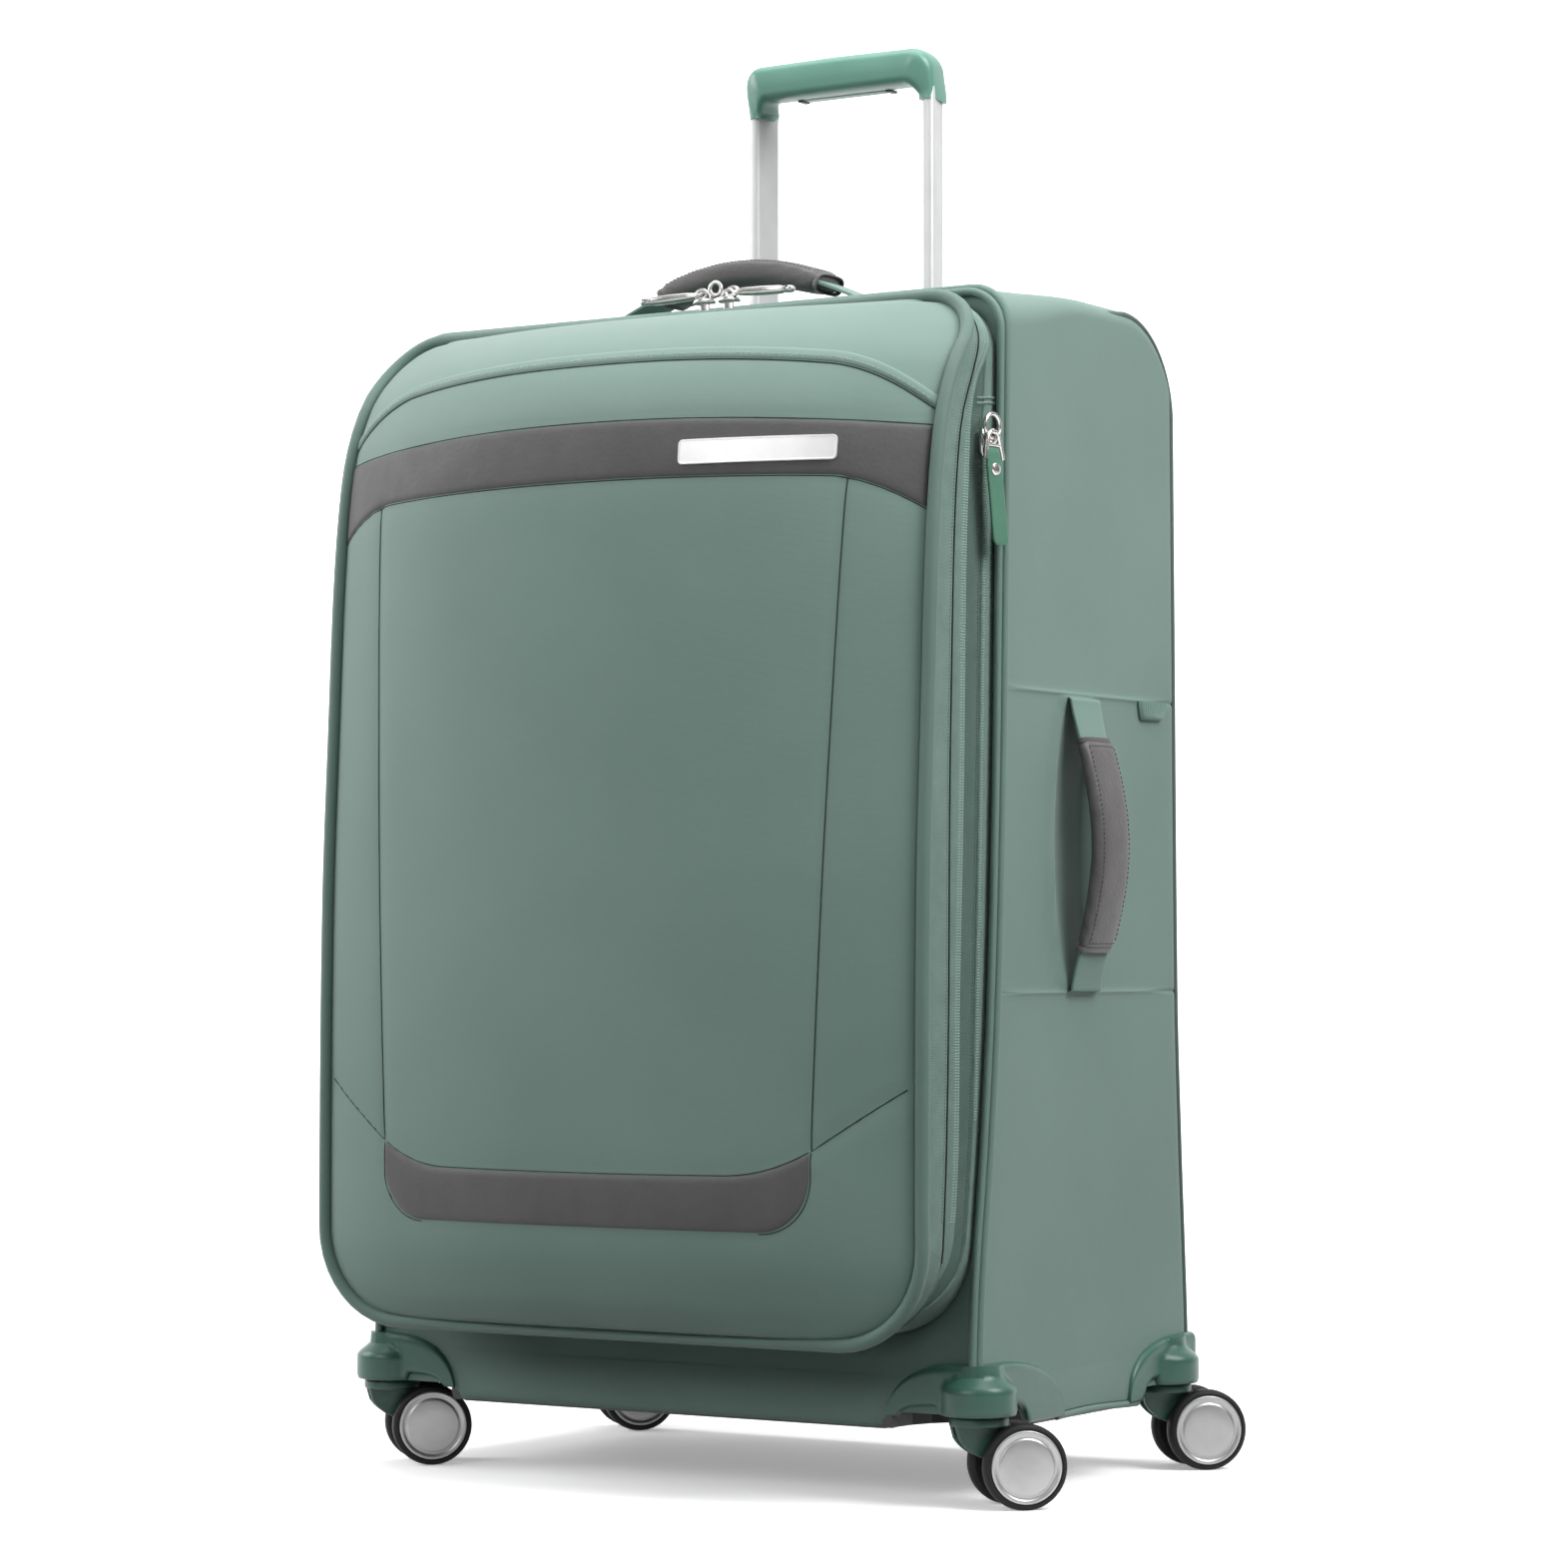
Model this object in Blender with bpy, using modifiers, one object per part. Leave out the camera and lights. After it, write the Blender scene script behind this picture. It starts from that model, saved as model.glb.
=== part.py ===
"""Softside upright spinner suitcase, built as separate sub-parts with real joints.

Metres, +Z up. The front (lid) faces -Y and the carry-handle side faces +X.
Case coordinates put the four caster swivels in a rectangle centred on the origin,
and the root empty then shifts everything so that the origin is the centre of the base.
"""
import math

import bmesh
import bpy
from mathutils import Matrix, Vector

# ---------------------------------------------------------------- driving dimensions
GAP = 0.0003            # clearance kept between touching solids
CASE_HALF = 0.2385      # half width of the body
CASE_LOW = 0.0620       # underside of the fabric shell
CASE_TOP = 0.7850       # top of the fabric shell
CASE_CORNER = 0.026     # corner radius of the body's front opening
CASE_FOOT_CORNER = 0.012
CASE_WALL = 0.0040
PIPING_FOOT = 0.1050    # the body's pipings end just above the corner guards
TOP_BACK_RADIUS = 0.060
SIDE_BACK_RADIUS = 0.014
FLANGE_SIDE = 0.0165    # width of the flange round the opening
FLANGE_FOOT = 0.0460    # the same below the lid

BAND_HALF = 0.2310      # half width of the zipped gusset
BAND_LOW = 0.1085
BAND_TOP = 0.7755
BAND_WALL = 0.0030
BAND_CORNER = 0.036
BAND_FOOT_CORNER = 0.058
SLEEVE_INSET = 0.0135   # the gusset's inner sleeve, measured in from the band
SLEEVE_DEPTH_TOP = 0.006
SLEEVE_DEPTH_LOW = 0.045

LID_HALF = 0.2310       # the lid's fabric edge, inside its piping
LID_LOW = 0.1090
LID_TOP = 0.7740
LID_WALL = 0.0035
LID_POWER = 2.3         # how squarely the lid's front is crowned
LID_PIPING_R = 0.0048
LID_PIPING_OUT = 0.0058

TRAY_LOW = 0.0480
SWIVEL_X = 0.2330
SWIVEL_Y = 0.1280
WHEEL_R = 0.0275
WHEEL_WIDTH = 0.0115
WHEEL_INNER = 0.0113    # from the fork's middle plane to a wheel's inner face
TRAIL = 0.0250
TRAIL_ANGLE = math.radians(45.7)
AXLE_R = 0.0025
BORE_R = 0.0028
POCKET_R = 0.0600       # round room for a turning caster
CUP_R = 0.0240
CUP_LOW = 0.0590
CUP_SHOULDER = 0.0760
CUP_TOP = 0.0910
GUARD_CREST = 0.0915
GUARD_TIP = 0.0560
GUARD_FRONT_RUN = 0.0670  # from the corner along the front or the back
GUARD_SIDE_RUN = {-1: 0.1075, 1: 0.0933}  # along the side, by end

TUBE_X = 0.0705
TUBE_Y = 0.0960
TUBE_WIDE = 0.0250
TUBE_THIN = 0.0085
TUBE_TURN = math.radians(12)
TUBE_WALL = 0.0010
TUBE_TOP = 0.9645
TUBE_FOOT = 0.2750
HANDLE_LOW = 0.9550     # lower end of the grip's legs
HANDLE_TOP = 0.9890
GRIP_FORWARD = 0.0080   # the grip's bar stands ahead of the tubes
BUTTON_HALF = 0.0360
BRACKET_TOP = 0.0795
BEZEL_LOW = 0.7600
BEZEL_TOP = 0.7885

# Outline stations, each (height, y).
FRONT_EDGE = [(0.048, -0.1385), (0.134, -0.1345), (0.230, -0.1220), (0.320, -0.1130),
              (0.450, -0.1060), (0.580, -0.1020), (0.785, -0.0970)]
BACK_EDGE = [(0.048, 0.1570), (0.114, 0.1540), (0.220, 0.1470), (0.320, 0.1420),
             (0.600, 0.1390), (0.785, 0.1370)]
MAIN_ZIP = [(0.100, -0.1760), (0.170, -0.1700), (0.226, -0.1660), (0.310, -0.1630),
            (0.450, -0.1610), (0.530, -0.1585), (0.615, -0.1550), (0.660, -0.1510),
            (0.696, -0.1440), (0.737, -0.1250), (0.785, -0.1110)]
LID_EDGE = [(0.100, -0.2010), (0.200, -0.2020), (0.386, -0.2000), (0.510, -0.1940),
            (0.600, -0.1890), (0.657, -0.1830), (0.695, -0.1750), (0.727, -0.1600),
            (0.751, -0.1400), (0.768, -0.1270), (0.785, -0.1180)]
LID_CROWN = [(0.100, -0.2010), (0.115, -0.2160), (0.130, -0.2270), (0.160, -0.2380),
             (0.210, -0.2440), (0.450, -0.2460), (0.600, -0.2440), (0.690, -0.2400),
             (0.720, -0.2300), (0.744, -0.2130), (0.762, -0.1880), (0.774, -0.1600),
             (0.785, -0.1180)]


def station_curve(stations):
    """A smooth function of height through the stations (cubic Hermite)."""
    heights = [h for h, _ in stations]
    values = [v for _, v in stations]
    count = len(stations)
    slopes = []
    for i in range(count):
        lo, hi = max(i - 1, 0), min(i + 1, count - 1)
        slopes.append((values[hi] - values[lo]) / (heights[hi] - heights[lo]))

    def value(height):
        height = min(max(height, heights[0]), heights[-1])
        i = 0
        while i < count - 2 and height > heights[i + 1]:
            i += 1
        span = heights[i + 1] - heights[i]
        t = (height - heights[i]) / span
        level = (2 * t ** 3 - 3 * t ** 2 + 1) * values[i] + (3 * t ** 2 - 2 * t ** 3) * values[i + 1]
        bend = (t ** 3 - 2 * t ** 2 + t) * slopes[i] + (t ** 3 - t ** 2) * slopes[i + 1]
        return level + span * bend

    return value


front_y = station_curve(FRONT_EDGE)
back_y = station_curve(BACK_EDGE)
zip_y = station_curve(MAIN_ZIP)
lid_edge_y = station_curve(LID_EDGE)
lid_crown_y = station_curve(LID_CROWN)


# ---------------------------------------------------------------- scene helpers
def clear_scene():
    for obj in list(bpy.data.objects):
        bpy.data.objects.remove(obj, do_unlink=True)


clear_scene()
PARTS = bpy.data.collections.new("softside_suitcase")
CUTTERS = bpy.data.collections.new("cutters")
bpy.context.scene.collection.children.link(PARTS)
bpy.context.scene.collection.children.link(CUTTERS)
BODIES = {}


def add_body(name, pivot, parent="root"):
    """An empty on a joint's axis, in case coordinates, that its moving pieces hang from."""
    empty = bpy.data.objects.new("body_" + name, None)
    empty.empty_display_size = 0.02
    PARTS.objects.link(empty)
    pivot = Vector(pivot)
    if parent in BODIES:
        empty.parent = BODIES[parent][0]
        empty.location = pivot - BODIES[parent][1]
    else:
        empty.location = pivot
    BODIES[name] = (empty, pivot)


def material(name, color, roughness, metallic=0.0):
    mat = bpy.data.materials.new(name)
    mat.use_nodes = True
    shader = mat.node_tree.nodes["Principled BSDF"]
    shader.inputs["Base Color"].default_value = (*color, 1.0)
    shader.inputs["Roughness"].default_value = roughness
    shader.inputs["Metallic"].default_value = metallic
    mat.diffuse_color = (*color, 1.0)
    return mat


FINISHES = {
    "fabric": ((0.19, 0.30, 0.25), 0.75, 0.0),
    "tape": ((0.14, 0.24, 0.20), 0.85, 0.0),
    "trim": ((0.09, 0.08, 0.08), 0.55, 0.0),
    "green_plastic": ((0.08, 0.21, 0.16), 0.40, 0.0),
    "black_plastic": ((0.03, 0.03, 0.03), 0.50, 0.0),
    "tyre": ((0.01, 0.01, 0.01), 0.60, 0.0),
    "aluminium": ((0.70, 0.70, 0.70), 0.30, 0.9),
    "steel": ((0.60, 0.60, 0.60), 0.25, 1.0),
}


def add_part(name, mesh, finish, body="case", smooth=True):
    """Link a mesh given in case coordinates as one named part of a body."""
    empty, pivot = BODIES[body]
    mesh.transform(Matrix.Translation(-pivot))
    mesh.name = name
    mesh.materials.clear()
    mesh.materials.append(material(name, *FINISHES[finish]))
    if smooth:
        mesh.shade_smooth()
        mesh.set_sharp_from_angle(angle=math.radians(35))
    obj = bpy.data.objects.new(name, mesh)
    obj.parent = empty
    PARTS.objects.link(obj)
    return obj


def boolean(obj, mesh, operation="DIFFERENCE", body="case"):
    """Cut or join a mesh, given in case coordinates, into a part."""
    empty, pivot = BODIES[body]
    mesh.transform(Matrix.Translation(-pivot))
    tool = bpy.data.objects.new("tool_" + obj.name, mesh)
    tool.parent = empty
    tool.display_type = "WIRE"
    tool.hide_render = True
    CUTTERS.objects.link(tool)
    modifier = obj.modifiers.new("shape", "BOOLEAN")
    modifier.operation = operation
    modifier.solver = "EXACT"
    modifier.object = tool


def finish_mesh(bm, closed=True):
    if closed:
        bmesh.ops.recalc_face_normals(bm, faces=bm.faces)
        if bm.calc_volume(signed=True) < 0:
            bmesh.ops.reverse_faces(bm, faces=bm.faces)
    mesh = bpy.data.meshes.new("part")
    bm.to_mesh(mesh)
    bm.free()
    return mesh


# ---------------------------------------------------------------- shape helpers
def box(low, high, bevel=0.0):
    """A box between two corners, its edges rounded by a small bevel."""
    bm = bmesh.new()
    bmesh.ops.create_cube(bm, size=1.0)
    low, high = Vector(low), Vector(high)
    size = high - low
    bmesh.ops.scale(bm, vec=size, verts=bm.verts)
    bmesh.ops.translate(bm, vec=(low + high) / 2, verts=bm.verts)
    if bevel:
        bmesh.ops.bevel(bm, geom=bm.edges, offset=bevel, segments=2, profile=0.5, affect="EDGES")
    return finish_mesh(bm)


def cylinder(radius, start, end, segments=24, end_radius=None):
    """A cylinder or cone between two points."""
    start, end = Vector(start), Vector(end)
    bm = bmesh.new()
    top = radius if end_radius is None else end_radius
    bmesh.ops.create_cone(bm, cap_ends=True, segments=segments, radius1=radius, radius2=top,
                          depth=(end - start).length)
    turn = Vector((0, 0, 1)).rotation_difference(end - start).to_matrix().to_4x4()
    bm.transform(Matrix.Translation((start + end) / 2) @ turn)
    return finish_mesh(bm)


def loft(rings, cap_start=False, cap_end=False, closed=True):
    """Skin a row of rings that all have the same number of points."""
    bm = bmesh.new()
    rows = [[bm.verts.new(point) for point in ring] for ring in rings]
    count = len(rows[0])
    for near, far in zip(rows, rows[1:]):
        for i in range(count):
            j = (i + 1) % count
            bm.faces.new((near[i], far[i], far[j], near[j]))
    if cap_start:
        bm.faces.new(rows[0])
    if cap_end:
        bm.faces.new(list(reversed(rows[-1])))
    return finish_mesh(bm, closed)


def rim(half, low, high, top_radius, foot_radius, depth_at, side=7, across=3, arc=4):
    """A rounded rectangle in X and Z, with Y from depth_at(x, z)."""
    corners = [((half - top_radius, high - top_radius), top_radius, 0),
               ((-half + top_radius, high - top_radius), top_radius, 90),
               ((-half + foot_radius, low + foot_radius), foot_radius, 180),
               ((half - foot_radius, low + foot_radius), foot_radius, 270)]
    flat = []
    for (cx, cz), radius, start in corners:
        for k in range(arc + 1):
            angle = math.radians(start + 90 * k / arc)
            flat.append((cx + radius * math.cos(angle), cz + radius * math.sin(angle)))
        extra = across if start in (0, 180) else side
        nxt = corners[(start // 90 + 1) % 4]
        angle = math.radians(start + 90)
        sx, sz = flat[-1]
        ex = nxt[0][0] + nxt[1] * math.cos(angle)
        ez = nxt[0][1] + nxt[1] * math.sin(angle)
        for k in range(1, extra + 1):
            t = k / (extra + 1)
            flat.append((sx + (ex - sx) * t, sz + (ez - sz) * t))
    return [Vector((x, depth_at(x, z), z)) for x, z in flat]


def arch(half, foot, top, radius, depth_at, side=8, across=3, arc=4):
    """Points up one side, over the rounded top and down the other side."""
    flat = [(half, foot + (top - radius - foot) * k / side) for k in range(side)]
    for k in range(arc + 1):
        angle = math.radians(90 * k / arc)
        flat.append((half - radius + radius * math.cos(angle), top - radius + radius * math.sin(angle)))
    flat += [((half - radius) * (1 - k / across), top) for k in range(1, across // 2 + 1)]
    flat += [(-x, z) for x, z in reversed(flat)]
    return [Vector((x, depth_at(x, z), z)) for x, z in flat]


def roundover(depth, radius):
    """How far a rounded edge falls back at a depth in from the face."""
    if depth >= radius:
        return 0.0
    return radius - math.sqrt(radius ** 2 - (radius - depth) ** 2)


def solidify(obj, thickness):
    modifier = obj.modifiers.new("wall", "SOLIDIFY")
    modifier.thickness = thickness
    modifier.offset = -1
    modifier.use_even_offset = True


def wire(name, points, radius, finish, body="case", cyclic=True, resolution=1):
    """A round wire or piping as a bevelled curve through points in case coordinates."""
    empty, pivot = BODIES[body]
    curve = bpy.data.curves.new(name, "CURVE")
    curve.dimensions = "3D"
    curve.bevel_depth = radius
    curve.bevel_resolution = resolution
    curve.use_fill_caps = not cyclic
    spline = curve.splines.new("POLY")
    spline.points.add(len(points) - 1)
    for slot, point in zip(spline.points, points):
        slot.co = (*(Vector(point) - pivot), 1.0)
    spline.use_cyclic_u = cyclic
    curve.materials.append(material(name, *FINISHES[finish]))
    obj = bpy.data.objects.new(name, curve)
    obj.parent = empty
    PARTS.objects.link(obj)
    return obj


def section_ring(centre, across, up, width, height, corner, arc=2):
    """A rounded rectangle section round a centre, in the plane of two unit directions."""
    points = []
    for k, (sx, sy) in enumerate(((1, 1), (-1, 1), (-1, -1), (1, -1))):
        for n in range(arc + 1):
            angle = math.radians(90 * k + 90 * n / arc)
            x = sx * (width / 2 - corner) + corner * math.cos(angle)
            y = sy * (height / 2 - corner) + corner * math.sin(angle)
            points.append(Vector(centre) + Vector(across) * x + Vector(up) * y)
    return points


def sweep_rings(path, across, width, height, corner, arc=2):
    """Sections along a path; the section's width lies along one fixed direction."""
    rings = []
    across = Vector(across).normalized()
    for i, point in enumerate(path):
        ahead = Vector(path[min(i + 1, len(path) - 1)])
        behind = Vector(path[max(i - 1, 0)])
        up = (ahead - behind).normalized().cross(across)
        wide = width(i) if callable(width) else width
        tall = height(i) if callable(height) else height
        rings.append(section_ring(point, across, up, wide, tall, corner, arc))
    return rings


def sweep(path, across, width, height, corner, arc=2):
    """A solid rounded bar along a path."""
    return loft(sweep_rings(path, across, width, height, corner, arc), cap_start=True, cap_end=True)


# ---------------------------------------------------------------- case
def case_ring(depth, grow=0.0):
    """Outline of the body at a depth in from the back face, on a surface grown outward."""
    side = roundover(depth, SIDE_BACK_RADIUS + grow)
    drop = roundover(depth, TOP_BACK_RADIUS + grow)
    half = CASE_HALF + grow - side
    return rim(half, CASE_LOW - grow + side, CASE_TOP + grow - drop,
               max(CASE_CORNER + grow - side, 0.006), max(CASE_FOOT_CORNER + grow - side, 0.004),
               lambda x, z: back_y(z) + grow - depth)


def front_ring(inset, forward=0.0, foot=None):
    """Outline of the body's front opening, moved in from the sides and forward."""
    foot = inset if foot is None else foot
    return rim(CASE_HALF - inset, CASE_LOW + foot, CASE_TOP - inset, max(CASE_CORNER - inset, 0.004),
               BAND_FOOT_CORNER - 0.012 if foot > inset else max(CASE_FOOT_CORNER - inset, 0.003),
               lambda x, z: front_y(z) - forward)


def build_case():
    middle = rim(CASE_HALF, CASE_LOW, CASE_TOP, CASE_CORNER, CASE_FOOT_CORNER, lambda x, z: 0.02)
    depths = [0.059, 0.044, 0.032, 0.022, 0.014, 0.008, 0.003, 0.0003]
    rings = [front_ring(FLANGE_SIDE, foot=FLANGE_FOOT), front_ring(0.0), middle]
    rings += [case_ring(depth) for depth in depths]
    shell = add_part("case_shell", loft(rings, cap_end=True, closed=False), "fabric")
    solidify(shell, CASE_WALL)
    boolean(shell, box((-0.0900, TUBE_Y - 0.0200, 0.7500), (0.0900, TUBE_Y + 0.0200, 0.8000)))
    front = arch(CASE_HALF - 0.0017, PIPING_FOOT, CASE_TOP - 0.0017, CASE_CORNER - 0.0017,
                 lambda x, z: front_y(z) - 0.0042)
    wire("front_piping", front, 0.0033, "fabric", cyclic=False)
    depth, grow = 0.0060, 0.0024
    drop = roundover(depth, TOP_BACK_RADIUS + grow)
    rear = arch(CASE_HALF + grow - roundover(depth, SIDE_BACK_RADIUS + grow), PIPING_FOOT,
                CASE_TOP + grow - drop, CASE_CORNER, lambda x, z: back_y(z) + grow - depth)
    wire("rear_piping", rear, 0.0018, "fabric", cyclic=False)
    wire("frame_hoop_front", front_ring(0.0085, -0.0085), 0.0022, "steel")
    hoop = rim(CASE_HALF - 0.0075, CASE_LOW + 0.0075, 0.7440, 0.020, 0.010, lambda x, z: 0.1200)
    wire("frame_hoop_rear", hoop, 0.0022, "steel")


def build_tray():
    """Moulded base tray with a round pocket for each caster."""
    outline = [(CASE_HALF, front_y(TRAY_LOW)), (CASE_HALF, back_y(TRAY_LOW) - 0.0010),
               (-CASE_HALF, back_y(TRAY_LOW) - 0.0010), (-CASE_HALF, front_y(TRAY_LOW))]
    low = [Vector((x * 0.985, y * 0.985, TRAY_LOW)) for x, y in outline]
    shoulder = [Vector((x, y, TRAY_LOW + 0.0050)) for x, y in outline]
    high = [Vector((x, y, CASE_LOW - GAP)) for x, y in outline]
    tray = add_part("base_tray", loft([low, shoulder, high], True, True), "black_plastic", smooth=False)
    for sx in (-1, 1):
        for sy in (-1, 1):
            centre = (sx * SWIVEL_X, sy * SWIVEL_Y)
            boolean(tray, cylinder(POCKET_R, (*centre, 0.0400), (*centre, 0.0700), 24))


def guard_stations(sx, sy, corner, steps=9):
    """Points along a guard, each (base, outward direction, share of its lobe)."""
    stations = []
    for k in range(steps):
        share = math.sin(math.pi / 2 * (1 - k / steps))
        base = corner + Vector((-sx * GUARD_FRONT_RUN * share, 0))
        stations.append((base, Vector((0, sy)), share))
    for k in range(5):
        angle = math.radians(22.5 * k)
        stations.append((corner, Vector((sx * math.sin(angle), sy * math.cos(angle))), 0.0))
    for k in range(1, steps + 1):
        share = math.sin(math.pi / 2 * k / steps)
        base = corner + Vector((0, -sy * GUARD_SIDE_RUN[sy] * share))
        stations.append((base, Vector((sx, 0)), share))
    return stations


def guard_mesh(sx, sy):
    """L-shaped corner guard: two lobes that hug the body, arched beside the caster."""
    corner = Vector((sx * CASE_HALF, front_y(0.075) if sy < 0 else back_y(0.062) + 0.0005))
    axis = Vector((sx * SWIVEL_X, sy * SWIVEL_Y))
    rings = []
    for base, outward, share in guard_stations(sx, sy, corner):
        rho = (base - axis).length
        foot = 0.0505 if rho > POCKET_R else GUARD_TIP
        low = 0.0640 if share < 0.86 else foot
        low = CUP_LOW if rho < 0.0300 else low
        high = GUARD_TIP + (GUARD_CREST - GUARD_TIP) * math.sqrt(1 - share ** 3)
        high = max(high, low + 0.0040)
        thick = 0.0022 + 0.0050 * (1 - share ** 2)
        inner = base + outward * 0.0012
        outer = base + outward * (0.0012 + thick)
        shoulder = base + outward * (0.0012 + thick * 0.6)
        rings.append([Vector((*inner, low)), Vector((*outer, low)), Vector((*outer, high - 0.0030)),
                      Vector((*shoulder, high)), Vector((*inner, high))])
    return loft(rings, cap_start=True, cap_end=True)


def build_guards():
    for sy, end in ((-1, "front"), (1, "rear")):
        for sx, side in ((-1, "left"), (1, "right")):
            x, y = sx * SWIVEL_X, sy * SWIVEL_Y
            guard = add_part(f"corner_guard_{end}_{side}", guard_mesh(sx, sy), "green_plastic")
            cup = cylinder(CUP_R, (x, y, CUP_LOW), (x, y, CUP_SHOULDER), 24)
            neck = cylinder(CUP_R, (x, y, CUP_SHOULDER - 0.0010), (x, y, CUP_TOP), 24, 0.0120)
            boolean(guard, cup, "UNION")
            boolean(guard, neck, "UNION")
            near_x, far_x = sorted((sx * 0.1000, sx * (CASE_HALF + 0.0006)))
            near_y, far_y = sorted((0.0, front_y(0.075) - 0.0006 if sy < 0 else back_y(0.062) + 0.0010))
            boolean(guard, box((near_x, near_y, CASE_LOW - GAP), (far_x, far_y, 0.1200)))
            boolean(guard, cylinder(0.0046, (x, y, 0.0500), (x, y, 0.0617 - 0.0006), 12))


# ---------------------------------------------------------------- casters
def wheel_mesh():
    """Half section of a wheel, turned about its own Z axis; the rim's edges are rounded."""
    half = WHEEL_WIDTH / 2
    profile = [(BORE_R, half), (0.0255, half), (WHEEL_R, half - 0.0024), (WHEEL_R, -half + 0.0024),
               (0.0255, -half), (BORE_R, -half)]
    segments = 20
    rings = []
    for radius, height in profile:
        ring = []
        for k in range(segments):
            angle = 2 * math.pi * k / segments
            ring.append(Vector((radius * math.cos(angle), radius * math.sin(angle), height)))
        rings.append(ring)
    return loft(rings + [rings[0]])


def fork_outline():
    """Side outline of a fork in its own plane: along the trail, and height."""
    boss = 0.0085
    points = [(-0.0165, 0.0545), (-0.0150, 0.0500), (-0.0060, 0.0420), (0.0060, 0.0330)]
    for k in range(7):
        angle = math.radians(200 + 30 * k)
        points.append((TRAIL + boss * math.cos(angle), WHEEL_R + boss * math.sin(angle)))
    points += [(0.0300, 0.0400), (0.0240, 0.0500), (0.0165, 0.0545)]
    return points


def build_casters():
    trail = Vector((math.cos(TRAIL_ANGLE), math.sin(TRAIL_ANGLE), 0))
    across = Vector((trail.y, -trail.x, 0))
    for sy, end in ((-1, "front"), (1, "rear")):
        for sx, side in ((-1, "left"), (1, "right")):
            where = f"{end}_{side}"
            pivot = Vector((sx * SWIVEL_X, sy * SWIVEL_Y, 0))
            add_body(f"caster_{where}", pivot + Vector((0, 0, CUP_LOW)), "case")
            body = f"caster_{where}"
            rings = []
            for offset, shrink in ((-0.0088, 0.0015), (-0.0070, 0), (0.0070, 0), (0.0088, 0.0015)):
                ring = []
                for along, height in fork_outline():
                    middle = Vector((0.008, 0.042))
                    pull = (middle - Vector((along, height))).normalized() * shrink
                    point = pivot + trail * (along + pull.x) + across * offset
                    ring.append(point + Vector((0, 0, height + pull.y)))
                rings.append(ring)
            fork = add_part(f"fork_{where}", loft(rings, True, True), "green_plastic", body)
            disc_low, disc_high = Vector((0, 0, 0.0530)), Vector((0, 0, CUP_LOW - 0.0006))
            boolean(fork, cylinder(0.0175, pivot + disc_low, pivot + disc_high, 20), "UNION", body)
            stem_high = Vector((0, 0, 0.0605))
            stem_low = Vector((0, 0, CUP_LOW - 0.0026))
            boolean(fork, cylinder(0.0040, pivot + stem_low, pivot + stem_high, 12), "UNION", body)
            hub = pivot + trail * TRAIL + Vector((0, 0, WHEEL_R))
            boolean(fork, cylinder(BORE_R, hub - across * 0.02, hub + across * 0.02, 12), body=body)
            reach = WHEEL_INNER + WHEEL_WIDTH - 0.0006
            add_part(f"axle_{where}", cylinder(AXLE_R, hub - across * reach, hub + across * reach, 16),
                     "steel", body)
            for sign, letter in ((-1, "inner"), (1, "outer")):
                centre = hub + across * sign * (WHEEL_INNER + WHEEL_WIDTH / 2)
                wheel = f"wheel_{where}_{letter}"
                add_body(wheel, centre, body)
                mesh = wheel_mesh()
                turn = Vector((0, 0, 1)).rotation_difference(across * sign).to_matrix().to_4x4()
                mesh.transform(Matrix.Translation(centre) @ turn)
                add_part(wheel, mesh, "tyre", wheel)


# ---------------------------------------------------------------- pull handle
def tube_section(sx, width, thick, corner, z):
    """Ring of a handle tube's section at a height, turned a little about Z."""
    turn = sx * TUBE_TURN
    across = Vector((math.cos(turn), math.sin(turn), 0))
    along = Vector((-across.y, across.x, 0))
    return section_ring((sx * TUBE_X, TUBE_Y, z), across, along, thick, width, corner, 3)


def tube_mesh(sx, width, thick, wall, low, high):
    """A hollow rectangular tube with rounded corners, open at both ends."""
    corner = thick * 0.40
    outer = [tube_section(sx, width, thick, corner, z) for z in (low, high)]
    narrow, slim = width - 2 * wall, thick - 2 * wall
    inner = [tube_section(sx, narrow, slim, corner - wall * 0.8, z) for z in (high, low)]
    return loft([outer[0], outer[1], inner[0], inner[1], outer[0]])


def bar_mesh(sx, width, thick, low, high):
    """A solid bar of a handle tube's section."""
    return loft([tube_section(sx, width, thick, thick * 0.3, z) for z in (low, high)], True, True)


def grip_path(steps=8):
    """Middle line of the grip, from one leg's end over the bar to the other."""
    bend = 0.0150
    top = HANDLE_TOP - 0.0130
    path = [Vector((-TUBE_X, TUBE_Y, HANDLE_LOW)), Vector((-TUBE_X, TUBE_Y, top - bend))]
    for k in range(1, steps + 1):
        angle = math.radians(180 - 90 * k / steps)
        x = -TUBE_X + bend + bend * math.cos(angle)
        y = TUBE_Y - GRIP_FORWARD * k / steps
        path.append(Vector((x, y, top - bend + bend * math.sin(angle))))
    return path + [Vector((-p.x, p.y, p.z)) for p in reversed(path)]


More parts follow.
